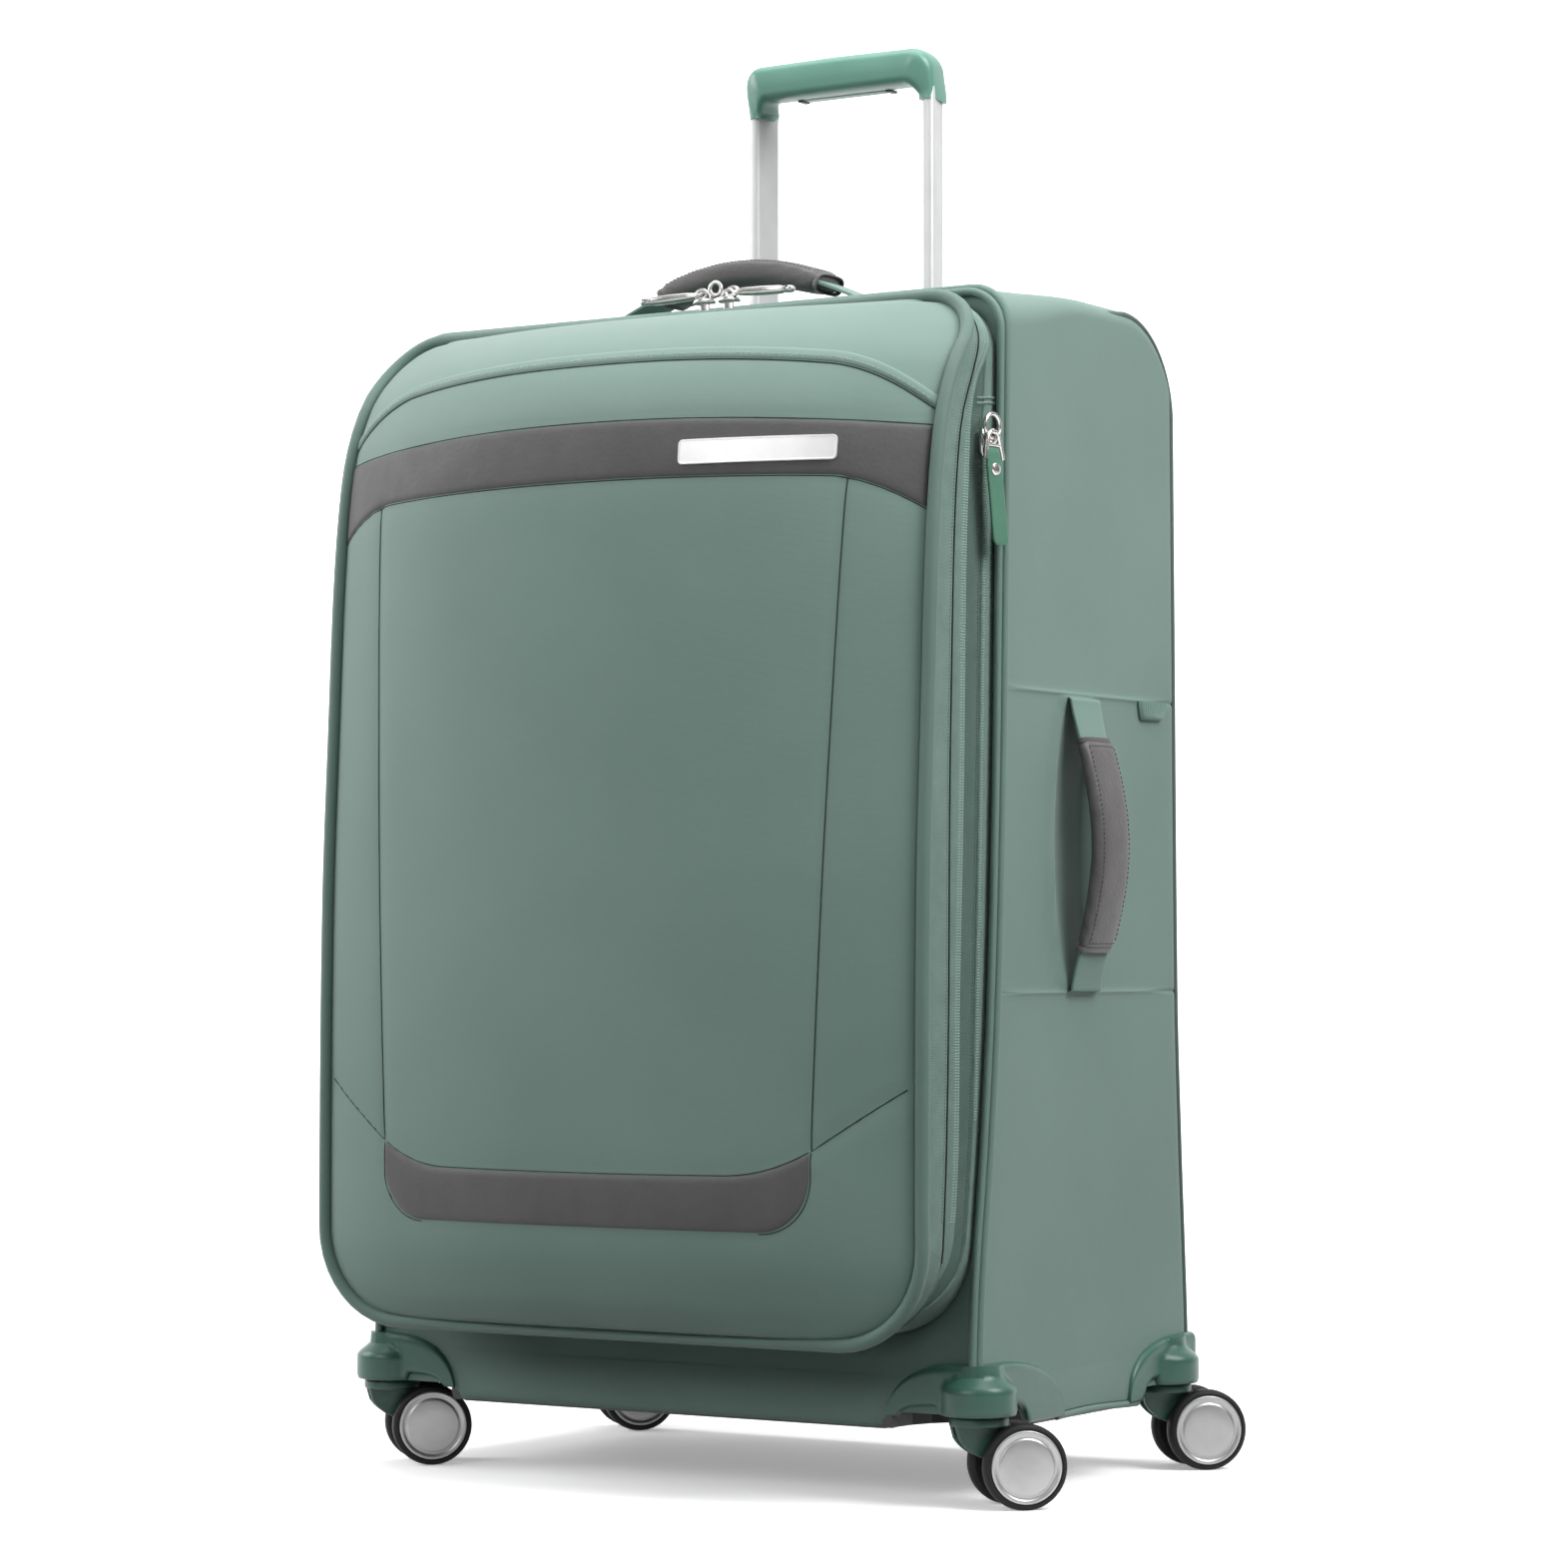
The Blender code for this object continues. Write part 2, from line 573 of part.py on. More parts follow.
def build_pull_handle():
    path = grip_path()
    last = len(path) - 1
    grip = sweep(path, (0, 1, 0), 0.0290, lambda i: 0.0170 + 0.0080 * min(i, last - i, 8) / 8, 0.0060, 3)
    grip = add_part("handle_grip", grip, "green_plastic", "pull_handle")
    channel_top = 0.9745
    slot = box((-TUBE_X - 0.0040, TUBE_Y - 0.0045, 0.9500), (TUBE_X + 0.0040, TUBE_Y + 0.0045, channel_top))
    boolean(grip, slot, body="pull_handle")
    for sx, side in ((-1, "left"), (1, "right")):
        boolean(grip, bar_mesh(sx, TUBE_WIDE + 2 * GAP, TUBE_THIN + 2 * GAP, 0.9400, TUBE_TOP + GAP),
                body="pull_handle")
        tube = tube_mesh(sx, TUBE_WIDE, TUBE_THIN, TUBE_WALL, TUBE_FOOT, TUBE_TOP)
        add_part(f"inner_tube_{side}", tube, "aluminium", "pull_handle")
        outer = tube_mesh(sx, TUBE_WIDE + 0.0046, TUBE_THIN + 0.0046, 0.0012,
                          BRACKET_TOP + GAP, BEZEL_LOW - GAP)
        add_part(f"outer_tube_{side}", outer, "aluminium")
        block = bar_mesh(sx, TUBE_WIDE, TUBE_THIN, TUBE_FOOT - 0.0250, TUBE_FOOT - GAP)
        add_part(f"lock_block_{side}", block, "black_plastic", "pull_handle")
        x = sx * TUBE_X
        rod = cylinder(0.0018, (x, TUBE_Y, TUBE_FOOT + 0.0010), (x, TUBE_Y, 0.9650), 12)
        add_part(f"push_rod_{side}", rod, "steel", "release")
    button = box((-BUTTON_HALF, TUBE_Y - 0.0040, 0.9590), (BUTTON_HALF, TUBE_Y + 0.0040, 0.9660), 0.0008)
    button = add_part("release_button", button, "black_plastic", "release")
    bar = box((-TUBE_X - 0.0030, TUBE_Y - 0.0035, 0.9655), (TUBE_X + 0.0030, TUBE_Y + 0.0035, 0.9695))
    boolean(button, bar, "UNION", "release")
    bezel = box((-0.0890, TUBE_Y - 0.0190, BEZEL_LOW), (0.0890, TUBE_Y + 0.0190, BEZEL_TOP), 0.0020)
    bezel = add_part("handle_bezel", bezel, "green_plastic")
    for sx in (-1, 1):
        boolean(bezel, bar_mesh(sx, TUBE_WIDE + 0.0012, TUBE_THIN + 0.0012, 0.7500, 0.8000))
    bracket = box((-0.0900, TUBE_Y - 0.0170, 0.0670), (0.0900, TUBE_Y + 0.0170, BRACKET_TOP), 0.0015)
    add_part("foot_bracket", bracket, "black_plastic")


# ---------------------------------------------------------------- inside of the case
def build_inside():
    board_y = 0.0760
    add_part("back_board", box((-0.2260, board_y, 0.0900), (0.2260, board_y + 0.0020, 0.7350)),
             "black_plastic", smooth=False)
    for sx, side in ((-1, "left"), (1, "right")):
        low_x, high_x = sorted((sx * 0.0220, sx * 0.2150))
        strap = box((low_x, board_y - 0.0020, 0.4000), (high_x, board_y - GAP, 0.4250))
        add_part(f"packing_strap_{side}", strap, "tape", smooth=False)
    buckle = box((-0.0215, board_y - 0.0080, 0.3950), (0.0215, board_y - GAP, 0.4300), 0.0020)
    add_part("strap_buckle", buckle, "black_plastic")


# ---------------------------------------------------------------- expansion gusset and lid
def band_ring(inset, depth_at):
    return rim(BAND_HALF - inset, BAND_LOW + inset, BAND_TOP - inset, max(BAND_CORNER - inset, 0.006),
               BAND_FOOT_CORNER - inset, depth_at)


def sleeve_depth(z):
    t = (z - BAND_LOW) / (BAND_TOP - BAND_LOW)
    return SLEEVE_DEPTH_LOW + (SLEEVE_DEPTH_TOP - SLEEVE_DEPTH_LOW) * t


def build_expander():
    """Gusset band between the body and the lid, with a sleeve that fills the gap when expanded."""
    rear = 0.0012

    def back(x, z):
        return front_y(z) - rear

    def front(x, z):
        return zip_y(z) + 0.0015

    def sleeve(x, z):
        return front_y(z) + sleeve_depth(z)

    inner = SLEEVE_INSET + 0.0025
    rings = [band_ring(BAND_WALL, front), band_ring(0.0, front), band_ring(0.0, back),
             band_ring(SLEEVE_INSET, back), band_ring(SLEEVE_INSET, sleeve), band_ring(inner, sleeve),
             band_ring(inner, lambda x, z: back(x, z) - BAND_WALL),
             band_ring(BAND_WALL, lambda x, z: back(x, z) - BAND_WALL)]
    add_part("expander_band", loft(rings + [rings[0]]), "tape", "expander")


def lid_half_at(z, half, low, high, top_radius, foot_radius):
    """Half width of a rounded rectangle at a height."""
    if z > high - top_radius:
        fall = min(z - (high - top_radius), top_radius)
        return half - top_radius + math.sqrt(top_radius ** 2 - fall ** 2)
    if z < low + foot_radius:
        fall = min(low + foot_radius - z, foot_radius)
        return half - foot_radius + math.sqrt(foot_radius ** 2 - fall ** 2)
    return half


def lid_front_y(x, z):
    """The lid's crowned front: its edge line at the rim, and its crown line in the middle."""
    half = lid_half_at(z, LID_HALF, LID_LOW, LID_TOP, BAND_CORNER, BAND_FOOT_CORNER)
    edge, crown = lid_edge_y(z) + 0.0014, lid_crown_y(z)
    share = min(abs(x) / max(half, 0.001), 1.0)
    return edge + min(crown - edge, 0.0) * (1 - share ** LID_POWER)


def lid_ring(scale):
    """A ring on the lid's front, shrunk towards the middle of the lid."""
    middle = 0.450
    outer = rim(LID_HALF, LID_LOW, LID_TOP, BAND_CORNER, BAND_FOOT_CORNER, lambda x, z: 0.0)
    ring = []
    for point in outer:
        x = point.x * scale
        z = middle + (point.z - middle) * scale
        ring.append(Vector((x, lid_front_y(x, z), z)))
    return ring


def build_lid():
    shut = 0.0012
    wall_back = rim(BAND_HALF, BAND_LOW, BAND_TOP, BAND_CORNER, BAND_FOOT_CORNER,
                    lambda x, z: zip_y(z) + 0.0015 - shut)
    fronts = [lid_ring(scale) for scale in (0.12, 0.32, 0.55, 0.74, 0.86, 0.93, 0.975, 1.0)]
    shell = add_part("lid_shell", loft(fronts + [wall_back], cap_start=True, closed=False), "fabric", "lid")
    solidify(shell, LID_WALL)
    out = LID_PIPING_OUT
    piping = rim(LID_HALF + out, LID_LOW - out, LID_TOP + out, BAND_CORNER + out,
                 BAND_FOOT_CORNER + out, lambda x, z: lid_edge_y(z))
    wire("lid_piping", piping, LID_PIPING_R, "fabric", "lid")
    hoop = rim(BAND_HALF - 0.0080, LID_LOW + 0.0080, LID_TOP - 0.0100, BAND_CORNER - 0.0070,
               BAND_FOOT_CORNER - 0.0070, lambda x, z: (zip_y(z) + lid_edge_y(z)) / 2 + 0.0040)
    wire("lid_frame_hoop", hoop, 0.0020, "steel", "lid")
    build_name_plate()


def build_name_plate():
    """Blank metal plate that follows the lid's crown."""
    low_x, high_x, low_z, high_z = 0.0690, 0.1870, 0.6640, 0.6800
    columns, rows = 8, 1
    bm = bmesh.new()
    grid = []
    for r in range(rows + 1):
        z = low_z + (high_z - low_z) * r / rows
        line = []
        for c in range(columns + 1):
            x = low_x + (high_x - low_x) * c / columns
            line.append(bm.verts.new((x, lid_front_y(x, z) - 0.0024, z)))
        grid.append(line)
    for r in range(rows):
        for c in range(columns):
            bm.faces.new((grid[r][c], grid[r][c + 1], grid[r + 1][c + 1], grid[r + 1][c]))
    plate = add_part("name_plate", finish_mesh(bm, closed=False), "aluminium", "lid", smooth=False)
    solidify(plate, 0.0014)


# ---------------------------------------------------------------- carry handles
def carry_handle(name, place, half, grip_half, rise, width, thick):
    """A stitched strap in an arch with a padded grip round its middle."""
    steps = 16

    def arch(u):
        return 0.0024 + rise * math.cos(math.pi * u / (2 * half)) ** 1.3 if abs(u) < half else 0.0024

    def path(limit, count):
        return [Vector((-limit + 2 * limit * k / count, 0, arch(-limit + 2 * limit * k / count)))
                for k in range(count + 1)]

    strap = sweep(path(half, steps), (0, 1, 0), width, 0.0030, 0.0012, 1)
    outer = sweep_rings(path(grip_half, 12), (0, 1, 0), width + 0.0040, thick, min(0.0060, thick * 0.4))
    inner = sweep_rings(path(grip_half, 12), (0, 1, 0), width + 0.0010, 0.0042, 0.0012)
    grip = loft(outer + inner[::-1] + outer[:1])
    for mesh in (strap, grip):
        mesh.transform(place)
    add_part(name + "_strap", strap, "fabric", name)
    add_part(name + "_grip", grip, "trim", name)


TOP_HANDLE_Y = -0.0400


def build_carry_handles():
    top = Matrix.Translation((0, TOP_HANDLE_Y, CASE_TOP))
    carry_handle("top_handle", top, 0.1060, 0.0670, 0.0305, 0.0320, 0.0170)
    side = Matrix.Translation((CASE_HALF, 0.0025, 0.4238)) @ Matrix.Rotation(math.radians(90), 4, "Y")
    carry_handle("side_handle", side, 0.0967, 0.0690, 0.0180, 0.0380, 0.0110)


# ---------------------------------------------------------------- zips and tag
SLIDER_Y = -0.1134      # between the two pipings
SLIDER_Z = 0.7872       # the slider's body rides above them


def build_main_sliders():
    for sx, side, x in ((-1, "left", 0.0150), (1, "right", 0.0340)):
        body = f"slider_{side}"
        low = (x - 0.0060, SLIDER_Y - 0.0045, SLIDER_Z)
        high = (x + 0.0060, SLIDER_Y + 0.0045, SLIDER_Z + 0.0060)
        slider = add_part(f"main_slider_{side}", box(low, high, 0.0012), "steel", body)
        neck_low = (x - 0.0045, SLIDER_Y - 0.0009, BAND_TOP + 0.0010)
        neck_high = (x + 0.0045, SLIDER_Y + 0.0009, SLIDER_Z + 0.0030)
        boolean(slider, box(neck_low, neck_high), "UNION", body)
        near, far = x + sx * 0.0040, x + sx * 0.0500
        low_x, high_x = sorted((near, far))
        pull = box((low_x, SLIDER_Y - 0.0045, SLIDER_Z + 0.0064),
                   (high_x, SLIDER_Y + 0.0045, SLIDER_Z + 0.0082), 0.0005)
        add_part(f"main_pull_{side}", pull, "steel", f"pull_{side}")


EXP_SLIDER_Z = 0.6800


def build_expansion_zip():
    x, y, z = BAND_HALF + 0.0012, front_y(EXP_SLIDER_Z) - 0.0220, EXP_SLIDER_Z
    slider = box((x, y - 0.0045, z - 0.0070), (x + 0.0080, y + 0.0045, z + 0.0070), 0.0012)
    add_part("expansion_slider", slider, "steel", "expansion_slider")
    tab = box((x + 0.0088, y - 0.0068, z - 0.0680), (x + 0.0113, y + 0.0068, z - 0.0020), 0.0008)
    add_part("expansion_pull_tab", tab, "green_plastic", "expansion_tab")


def build_tag():
    """Slide-out address tag in a flat pocket on the side."""
    x = CASE_HALF
    tag = box((x + 0.0004, 0.0830, 0.5110), (x + 0.0022, 0.1200, 0.5230), 0.0004)
    tag = add_part("id_tag", tag, "green_plastic", "id_tag")
    boolean(tag, box((x + 0.0005, 0.0850, 0.5200), (x + 0.0011, 0.1180, 0.6000)), "UNION", "id_tag")
    pocket = box((x + 0.0015, 0.0810, 0.5236), (x + 0.0023, 0.1220, 0.6040))
    pocket = add_part("tag_pocket", pocket, "fabric", smooth=False)
    edge = box((x + 0.0004, 0.0810, 0.6010), (x + 0.0020, 0.1220, 0.6040))
    boolean(pocket, edge, "UNION")


# ---------------------------------------------------------------- assembly
def centre_on_base():
    """Move the root so that the origin is the bottom centre of everything's box."""
    bpy.context.view_layer.update()
    graph = bpy.context.evaluated_depsgraph_get()
    corners = []
    for obj in PARTS.objects:
        if obj.type == "MESH":
            piece = obj.evaluated_get(graph)
            corners += [piece.matrix_world @ Vector(corner) for corner in piece.bound_box]
    low = [min(corner[axis] for corner in corners) for axis in range(3)]
    high = [max(corner[axis] for corner in corners) for axis in range(3)]
    BODIES["root"][0].location = (-(low[0] + high[0]) / 2, -(low[1] + high[1]) / 2, -low[2])
    bpy.context.view_layer.update()


def add_bodies():
    add_body("root", (0, 0, 0))
    add_body("case", (0, 0, 0), "root")
    add_body("pull_handle", (0, TUBE_Y, BEZEL_TOP), "case")
    add_body("release", (0, TUBE_Y, 0.9660), "pull_handle")
    add_body("expander", (0, front_y(0.785), BAND_TOP + 0.0005), "case")
    add_body("lid", (0, zip_y(0.104) - 0.0030, BAND_LOW - 0.0020), "expander")
    add_body("top_handle", (0, TOP_HANDLE_Y, CASE_TOP + 0.0024), "case")
    add_body("side_handle", (CASE_HALF + 0.0024, 0.0025, 0.4238), "case")
    for side, x in (("left", 0.0150), ("right", 0.0340)):
        sx = -1 if side == "left" else 1
        add_body(f"slider_{side}", (x, SLIDER_Y, SLIDER_Z), "expander")
        add_body(f"pull_{side}", (x + sx * 0.0040, SLIDER_Y, SLIDER_Z + 0.0073), f"slider_{side}")
    x, y = BAND_HALF + 0.0012, front_y(EXP_SLIDER_Z) - 0.0220
    add_body("expansion_slider", (x, y, EXP_SLIDER_Z), "case")
    add_body("expansion_tab", (x + 0.0100, y, EXP_SLIDER_Z - 0.0030), "expansion_slider")
    add_body("id_tag", (CASE_HALF, 0.1015, 0.5230), "case")


add_bodies()
build_case()
build_tray()
build_guards()
build_casters()
build_pull_handle()
build_inside()
build_expander()
build_lid()
build_carry_handles()
build_main_sliders()
build_expansion_zip()
build_tag()

centre_on_base()
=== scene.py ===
"""Looks of the softside suitcase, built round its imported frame.

Shapes are worked out in case coordinates, with the four caster swivels in a rectangle
centred on the origin, and SHIFT takes them to the frame's own origin.
Front faces -Y, the side carry handle is at +X, +Z is up, metres throughout.
"""

from math import copysign, cos, exp, pi, radians, sin, sqrt

import bmesh
import bpy
import numpy as np
from mathutils import Matrix, Vector
from mathutils.bvhtree import BVHTree


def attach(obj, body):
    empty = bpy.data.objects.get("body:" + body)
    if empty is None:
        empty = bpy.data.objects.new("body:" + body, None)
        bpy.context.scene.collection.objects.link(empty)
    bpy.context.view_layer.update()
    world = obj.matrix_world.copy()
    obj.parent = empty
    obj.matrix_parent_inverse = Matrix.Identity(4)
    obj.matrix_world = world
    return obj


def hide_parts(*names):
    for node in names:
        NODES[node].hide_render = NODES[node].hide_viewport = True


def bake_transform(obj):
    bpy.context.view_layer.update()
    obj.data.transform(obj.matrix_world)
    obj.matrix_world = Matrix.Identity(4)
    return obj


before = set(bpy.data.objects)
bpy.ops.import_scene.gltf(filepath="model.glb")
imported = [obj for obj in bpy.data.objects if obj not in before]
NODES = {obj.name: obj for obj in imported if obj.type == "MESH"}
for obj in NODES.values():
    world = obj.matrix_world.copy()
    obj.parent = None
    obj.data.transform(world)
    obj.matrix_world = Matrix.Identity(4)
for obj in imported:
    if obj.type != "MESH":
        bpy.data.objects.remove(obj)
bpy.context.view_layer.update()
SHIFT = Vector((-0.013701, 0.033065, -0.000288))

# ---------------------------------------------------------------- dimensions shared with the frame
CASE_HALF, CASE_LOW, CASE_TOP = 0.2385, 0.0620, 0.7850
CASE_CORNER, CASE_FOOT_CORNER = 0.026, 0.012
TOP_BACK_RADIUS, SIDE_BACK_RADIUS = 0.060, 0.008
PUFF_RISE, PUFF_CORNER, PUFF_BACK_RADIUS = 0.0045, 0.0140, 0.068
FLANGE_SIDE, FLANGE_FOOT = 0.0165, 0.0460
BAND_HALF, BAND_LOW, BAND_TOP = 0.2310, 0.1085, 0.7755
BAND_CORNER, BAND_FOOT_CORNER = 0.036, 0.058
LID_HALF, LID_LOW, LID_TOP = 0.2310, 0.1090, 0.7740
LID_POWER, LID_PUFF = 2.3, 0.0040
SWIVEL_X, SWIVEL_Y = 0.2330, 0.1280
WHEEL_R, WHEEL_WIDTH, WHEEL_INNER = 0.0275, 0.0115, 0.0113
CUP_R = 0.0240
TRAIL, TRAIL_ANGLE = 0.0250, radians(45.7)
TUBE_X, TUBE_Y = 0.0705, 0.0960
TUBE_TURN = radians(12)
SLIDER_Y = -0.1134
HOUSING_LOW, GUARD_REACH = 0.0590, 0.0590
EXPANSION_SLIDER_Z = 0.6800
SIDES = ((-1, "left"), (1, "right"))

FRONT_EDGE = [(0.048, -0.1385), (0.134, -0.1345), (0.230, -0.1220), (0.320, -0.1130),
              (0.450, -0.1060), (0.580, -0.1020), (0.785, -0.0970)]
BACK_EDGE = [(0.048, 0.1570), (0.114, 0.1540), (0.220, 0.1470), (0.320, 0.1420),
             (0.600, 0.1390), (0.785, 0.1370)]
MAIN_ZIP = [(0.100, -0.1760), (0.170, -0.1700), (0.226, -0.1660), (0.310, -0.1630),
            (0.450, -0.1610), (0.530, -0.1585), (0.615, -0.1550), (0.660, -0.1510),
            (0.696, -0.1440), (0.737, -0.1250), (0.785, -0.1110)]
GUSSET_SEAM = [(0.100, -0.1748), (0.142, -0.1715), (0.155, -0.1640), (0.172, -0.1570),
               (0.225, -0.1510), (0.325, -0.1486), (0.460, -0.1431), (0.603, -0.1395),
               (0.660, -0.1360), (0.697, -0.1330), (0.721, -0.1250), (0.746, -0.1080),
               (0.785, -0.1062)]
EXPANSION_ZIP = [(0.100, -0.1743), (0.121, -0.1735), (0.137, -0.1543), (0.154, -0.1443),
                 (0.171, -0.1400), (0.207, -0.1350), (0.242, -0.1312), (0.325, -0.1273),
                 (0.461, -0.1220), (0.605, -0.1179), (0.700, -0.1160), (0.785, -0.1058)]
LID_EDGE = [(0.100, -0.2010), (0.200, -0.2020), (0.386, -0.2000), (0.510, -0.1940),
            (0.600, -0.1890), (0.657, -0.1830), (0.695, -0.1750), (0.727, -0.1600),
            (0.751, -0.1400), (0.768, -0.1270), (0.785, -0.1180)]
LID_CROWN = [(0.100, -0.2010), (0.115, -0.2160), (0.130, -0.2270), (0.160, -0.2380),
             (0.210, -0.2440), (0.450, -0.2460), (0.600, -0.2440), (0.690, -0.2400),
             (0.720, -0.2300), (0.744, -0.2130), (0.762, -0.1880), (0.774, -0.1600),
             (0.785, -0.1180)]


def station_curve(stations):
    """A smooth function of height through the stations (cubic Hermite)."""
    heights = [h for h, _ in stations]
    values = [v for _, v in stations]
    count = len(stations)
    slopes = []
    for i in range(count):
        lo, hi = max(i - 1, 0), min(i + 1, count - 1)
        slopes.append((values[hi] - values[lo]) / (heights[hi] - heights[lo]))

    def value(height):
        height = min(max(height, heights[0]), heights[-1])
        i = 0
        while i < count - 2 and height > heights[i + 1]:
            i += 1
        span = heights[i + 1] - heights[i]
        t = (height - heights[i]) / span
        level = (2 * t ** 3 - 3 * t ** 2 + 1) * values[i]
        level += (3 * t ** 2 - 2 * t ** 3) * values[i + 1]
        bend = (t ** 3 - 2 * t ** 2 + t) * slopes[i] + (t ** 3 - t ** 2) * slopes[i + 1]
        return level + span * bend

    return value


front_y = station_curve(FRONT_EDGE)
back_y = station_curve(BACK_EDGE)
zip_y = station_curve(MAIN_ZIP)
seam_y = station_curve(GUSSET_SEAM)
gap_y = station_curve(EXPANSION_ZIP)
lid_edge_y = station_curve(LID_EDGE)
lid_crown_y = station_curve(LID_CROWN)


# ---------------------------------------------------------------- materials
class Paint:
    """One procedural material: colour mottle, roughness variation and bump in object space."""

    def __init__(self, name, rough=0.5, metallic=0.0, spec=0.5, sheen=0.0, coat=0.0):
        self.mat = bpy.data.materials.new(name)
        self.mat.use_nodes = True
        self.tree = self.mat.node_tree
        self.shader = self.tree.nodes["Principled BSDF"]
        self.shader.inputs["Roughness"].default_value = rough
        self.shader.inputs["Metallic"].default_value = metallic
        self.shader.inputs["Specular IOR Level"].default_value = spec
        self.shader.inputs["Sheen Weight"].default_value = sheen
        self.shader.inputs["Sheen Roughness"].default_value = 0.45
        self.shader.inputs["Coat Weight"].default_value = coat
        self.shader.inputs["Coat Roughness"].default_value = 0.25
        self.coord = self.tree.nodes.new("ShaderNodeTexCoord").outputs["Object"]
        self.height = None
        self.rough = rough

    def node(self, kind, **inputs):
        node = self.tree.nodes.new(kind)
        for key, value in inputs.items():
            node.inputs[key.replace("_", " ")].default_value = value
        return node

    def link(self, source, target):
        self.tree.links.new(source, target)

    def noise(self, scale, detail=3.0, rough=0.55):
        node = self.node("ShaderNodeTexNoise", Scale=scale, Detail=detail, Roughness=rough)
        self.link(self.coord, node.inputs["Vector"])
        return node.outputs["Fac"]

    def wave(self, period, direction="DIAGONAL", distortion=0.0):
        axis_rate = 10.0 if direction == "DIAGONAL" else 20.0
        node = self.node("ShaderNodeTexWave", Scale=2 * pi / (axis_rate * period),
                         Distortion=distortion)
        node.bands_direction = direction
        self.link(self.coord, node.inputs["Vector"])
        return node.outputs["Fac"]

    def cells(self, scale):
        node = self.node("ShaderNodeTexVoronoi", Scale=scale)
        self.link(self.coord, node.inputs["Vector"])
        return node.outputs["Distance"]

    def math(self, operation, a, b):
        node = self.tree.nodes.new("ShaderNodeMath")
        node.operation = operation
        for socket, value in zip(node.inputs, (a, b)):
            if isinstance(value, (int, float)):
                socket.default_value = value
            else:
                self.link(value, socket)
        return node.outputs[0]

    def colour(self, dark, light, factor, low=0.3, high=0.7):
        ramp = self.tree.nodes.new("ShaderNodeValToRGB")
        ramp.color_ramp.elements[0].position = low
        ramp.color_ramp.elements[0].color = (*dark, 1.0)
        ramp.color_ramp.elements[1].position = high
        ramp.color_ramp.elements[1].color = (*light, 1.0)
        self.link(factor, ramp.inputs["Fac"])
        self.link(ramp.outputs["Color"], self.shader.inputs["Base Color"])
        return self

    def roughness(self, low, high, factor):
        node = self.node("ShaderNodeMapRange")
        node.inputs["To Min"].default_value = low
        node.inputs["To Max"].default_value = high
        self.link(factor, node.inputs["Value"])
        self.link(node.outputs["Result"], self.shader.inputs["Roughness"])
        return self

    def bump(self, height, distance, strength=1.0):
        node = self.node("ShaderNodeBump", Strength=strength, Distance=distance)
        self.link(height, node.inputs["Height"])
        if self.height is not None:
            self.link(self.height, node.inputs["Normal"])
        self.height = node.outputs["Normal"]
        self.link(self.height, self.shader.inputs["Normal"])
        return self


def srgb(r, g, b):
    """Linear colour from 0-255 screen values."""
    return tuple(((c / 255 + 0.055) / 1.055) ** 2.4 if c > 10 else c / 255 / 12.92
                 for c in (r, g, b))


def fabric(name, dark, light, period=0.0009, rough=0.62):
    paint = Paint(name, rough=rough, spec=0.42, sheen=0.18)
    paint.colour(srgb(*dark), srgb(*light), paint.noise(5.0, 4.0))
    paint.roughness(rough - 0.05, rough + 0.06, paint.noise(40.0))
    weave = paint.math("MULTIPLY", paint.wave(period), paint.wave(period * 0.8, "Z"))
    paint.bump(weave, 0.00006)
    paint.bump(paint.noise(900.0, 2.0), 0.00008)
    paint.bump(paint.noise(14.0, 2.0), 0.0006)
    return paint.mat


def webbing(name, dark, light, period=0.0011):
    paint = Paint(name, rough=0.78, spec=0.3, sheen=0.15)
    paint.colour(srgb(*dark), srgb(*light), paint.noise(60.0, 4.0))
    ribs = paint.math("ADD", paint.wave(period, "Z"), paint.wave(period * 0.6, "DIAGONAL"))
    paint.bump(ribs, 0.00012)
    paint.bump(paint.noise(1100.0, 2.0), 0.0001)
    return paint.mat


def leather(name, dark, light, grain=420.0, rough=0.6, depth=0.00012):
    paint = Paint(name, rough=rough, spec=0.4)
    paint.colour(srgb(*dark), srgb(*light), paint.noise(26.0, 6.0, 0.6))
    paint.roughness(rough - 0.08, rough + 0.08, paint.noise(70.0))
    paint.bump(paint.cells(grain), depth)
    paint.bump(paint.noise(30.0, 3.0), 0.0004)
    return paint.mat


def plastic(name, dark, light, rough=0.36, grain=700.0, depth=0.00004, spec=0.5):
    paint = Paint(name, rough=rough, spec=spec, coat=spec * 0.24)
    paint.colour(srgb(*dark), srgb(*light), paint.noise(22.0, 3.0))
    paint.roughness(rough - 0.04, rough + 0.06, paint.noise(120.0))
    paint.bump(paint.noise(grain, 2.0), depth)
    return paint.mat


def metal(name, dark, light, rough, brush=None, metallic=1.0):
    paint = Paint(name, rough=rough, metallic=metallic)
    paint.colour(srgb(*dark), srgb(*light), paint.noise(35.0, 4.0))
    paint.roughness(rough - 0.05, rough + 0.07, paint.noise(160.0, 4.0))
    if brush:
        paint.bump(paint.wave(0.0004, brush, 2.0), 0.00001)
    paint.bump(paint.noise(600.0, 2.0), 0.000015)
    return paint.mat


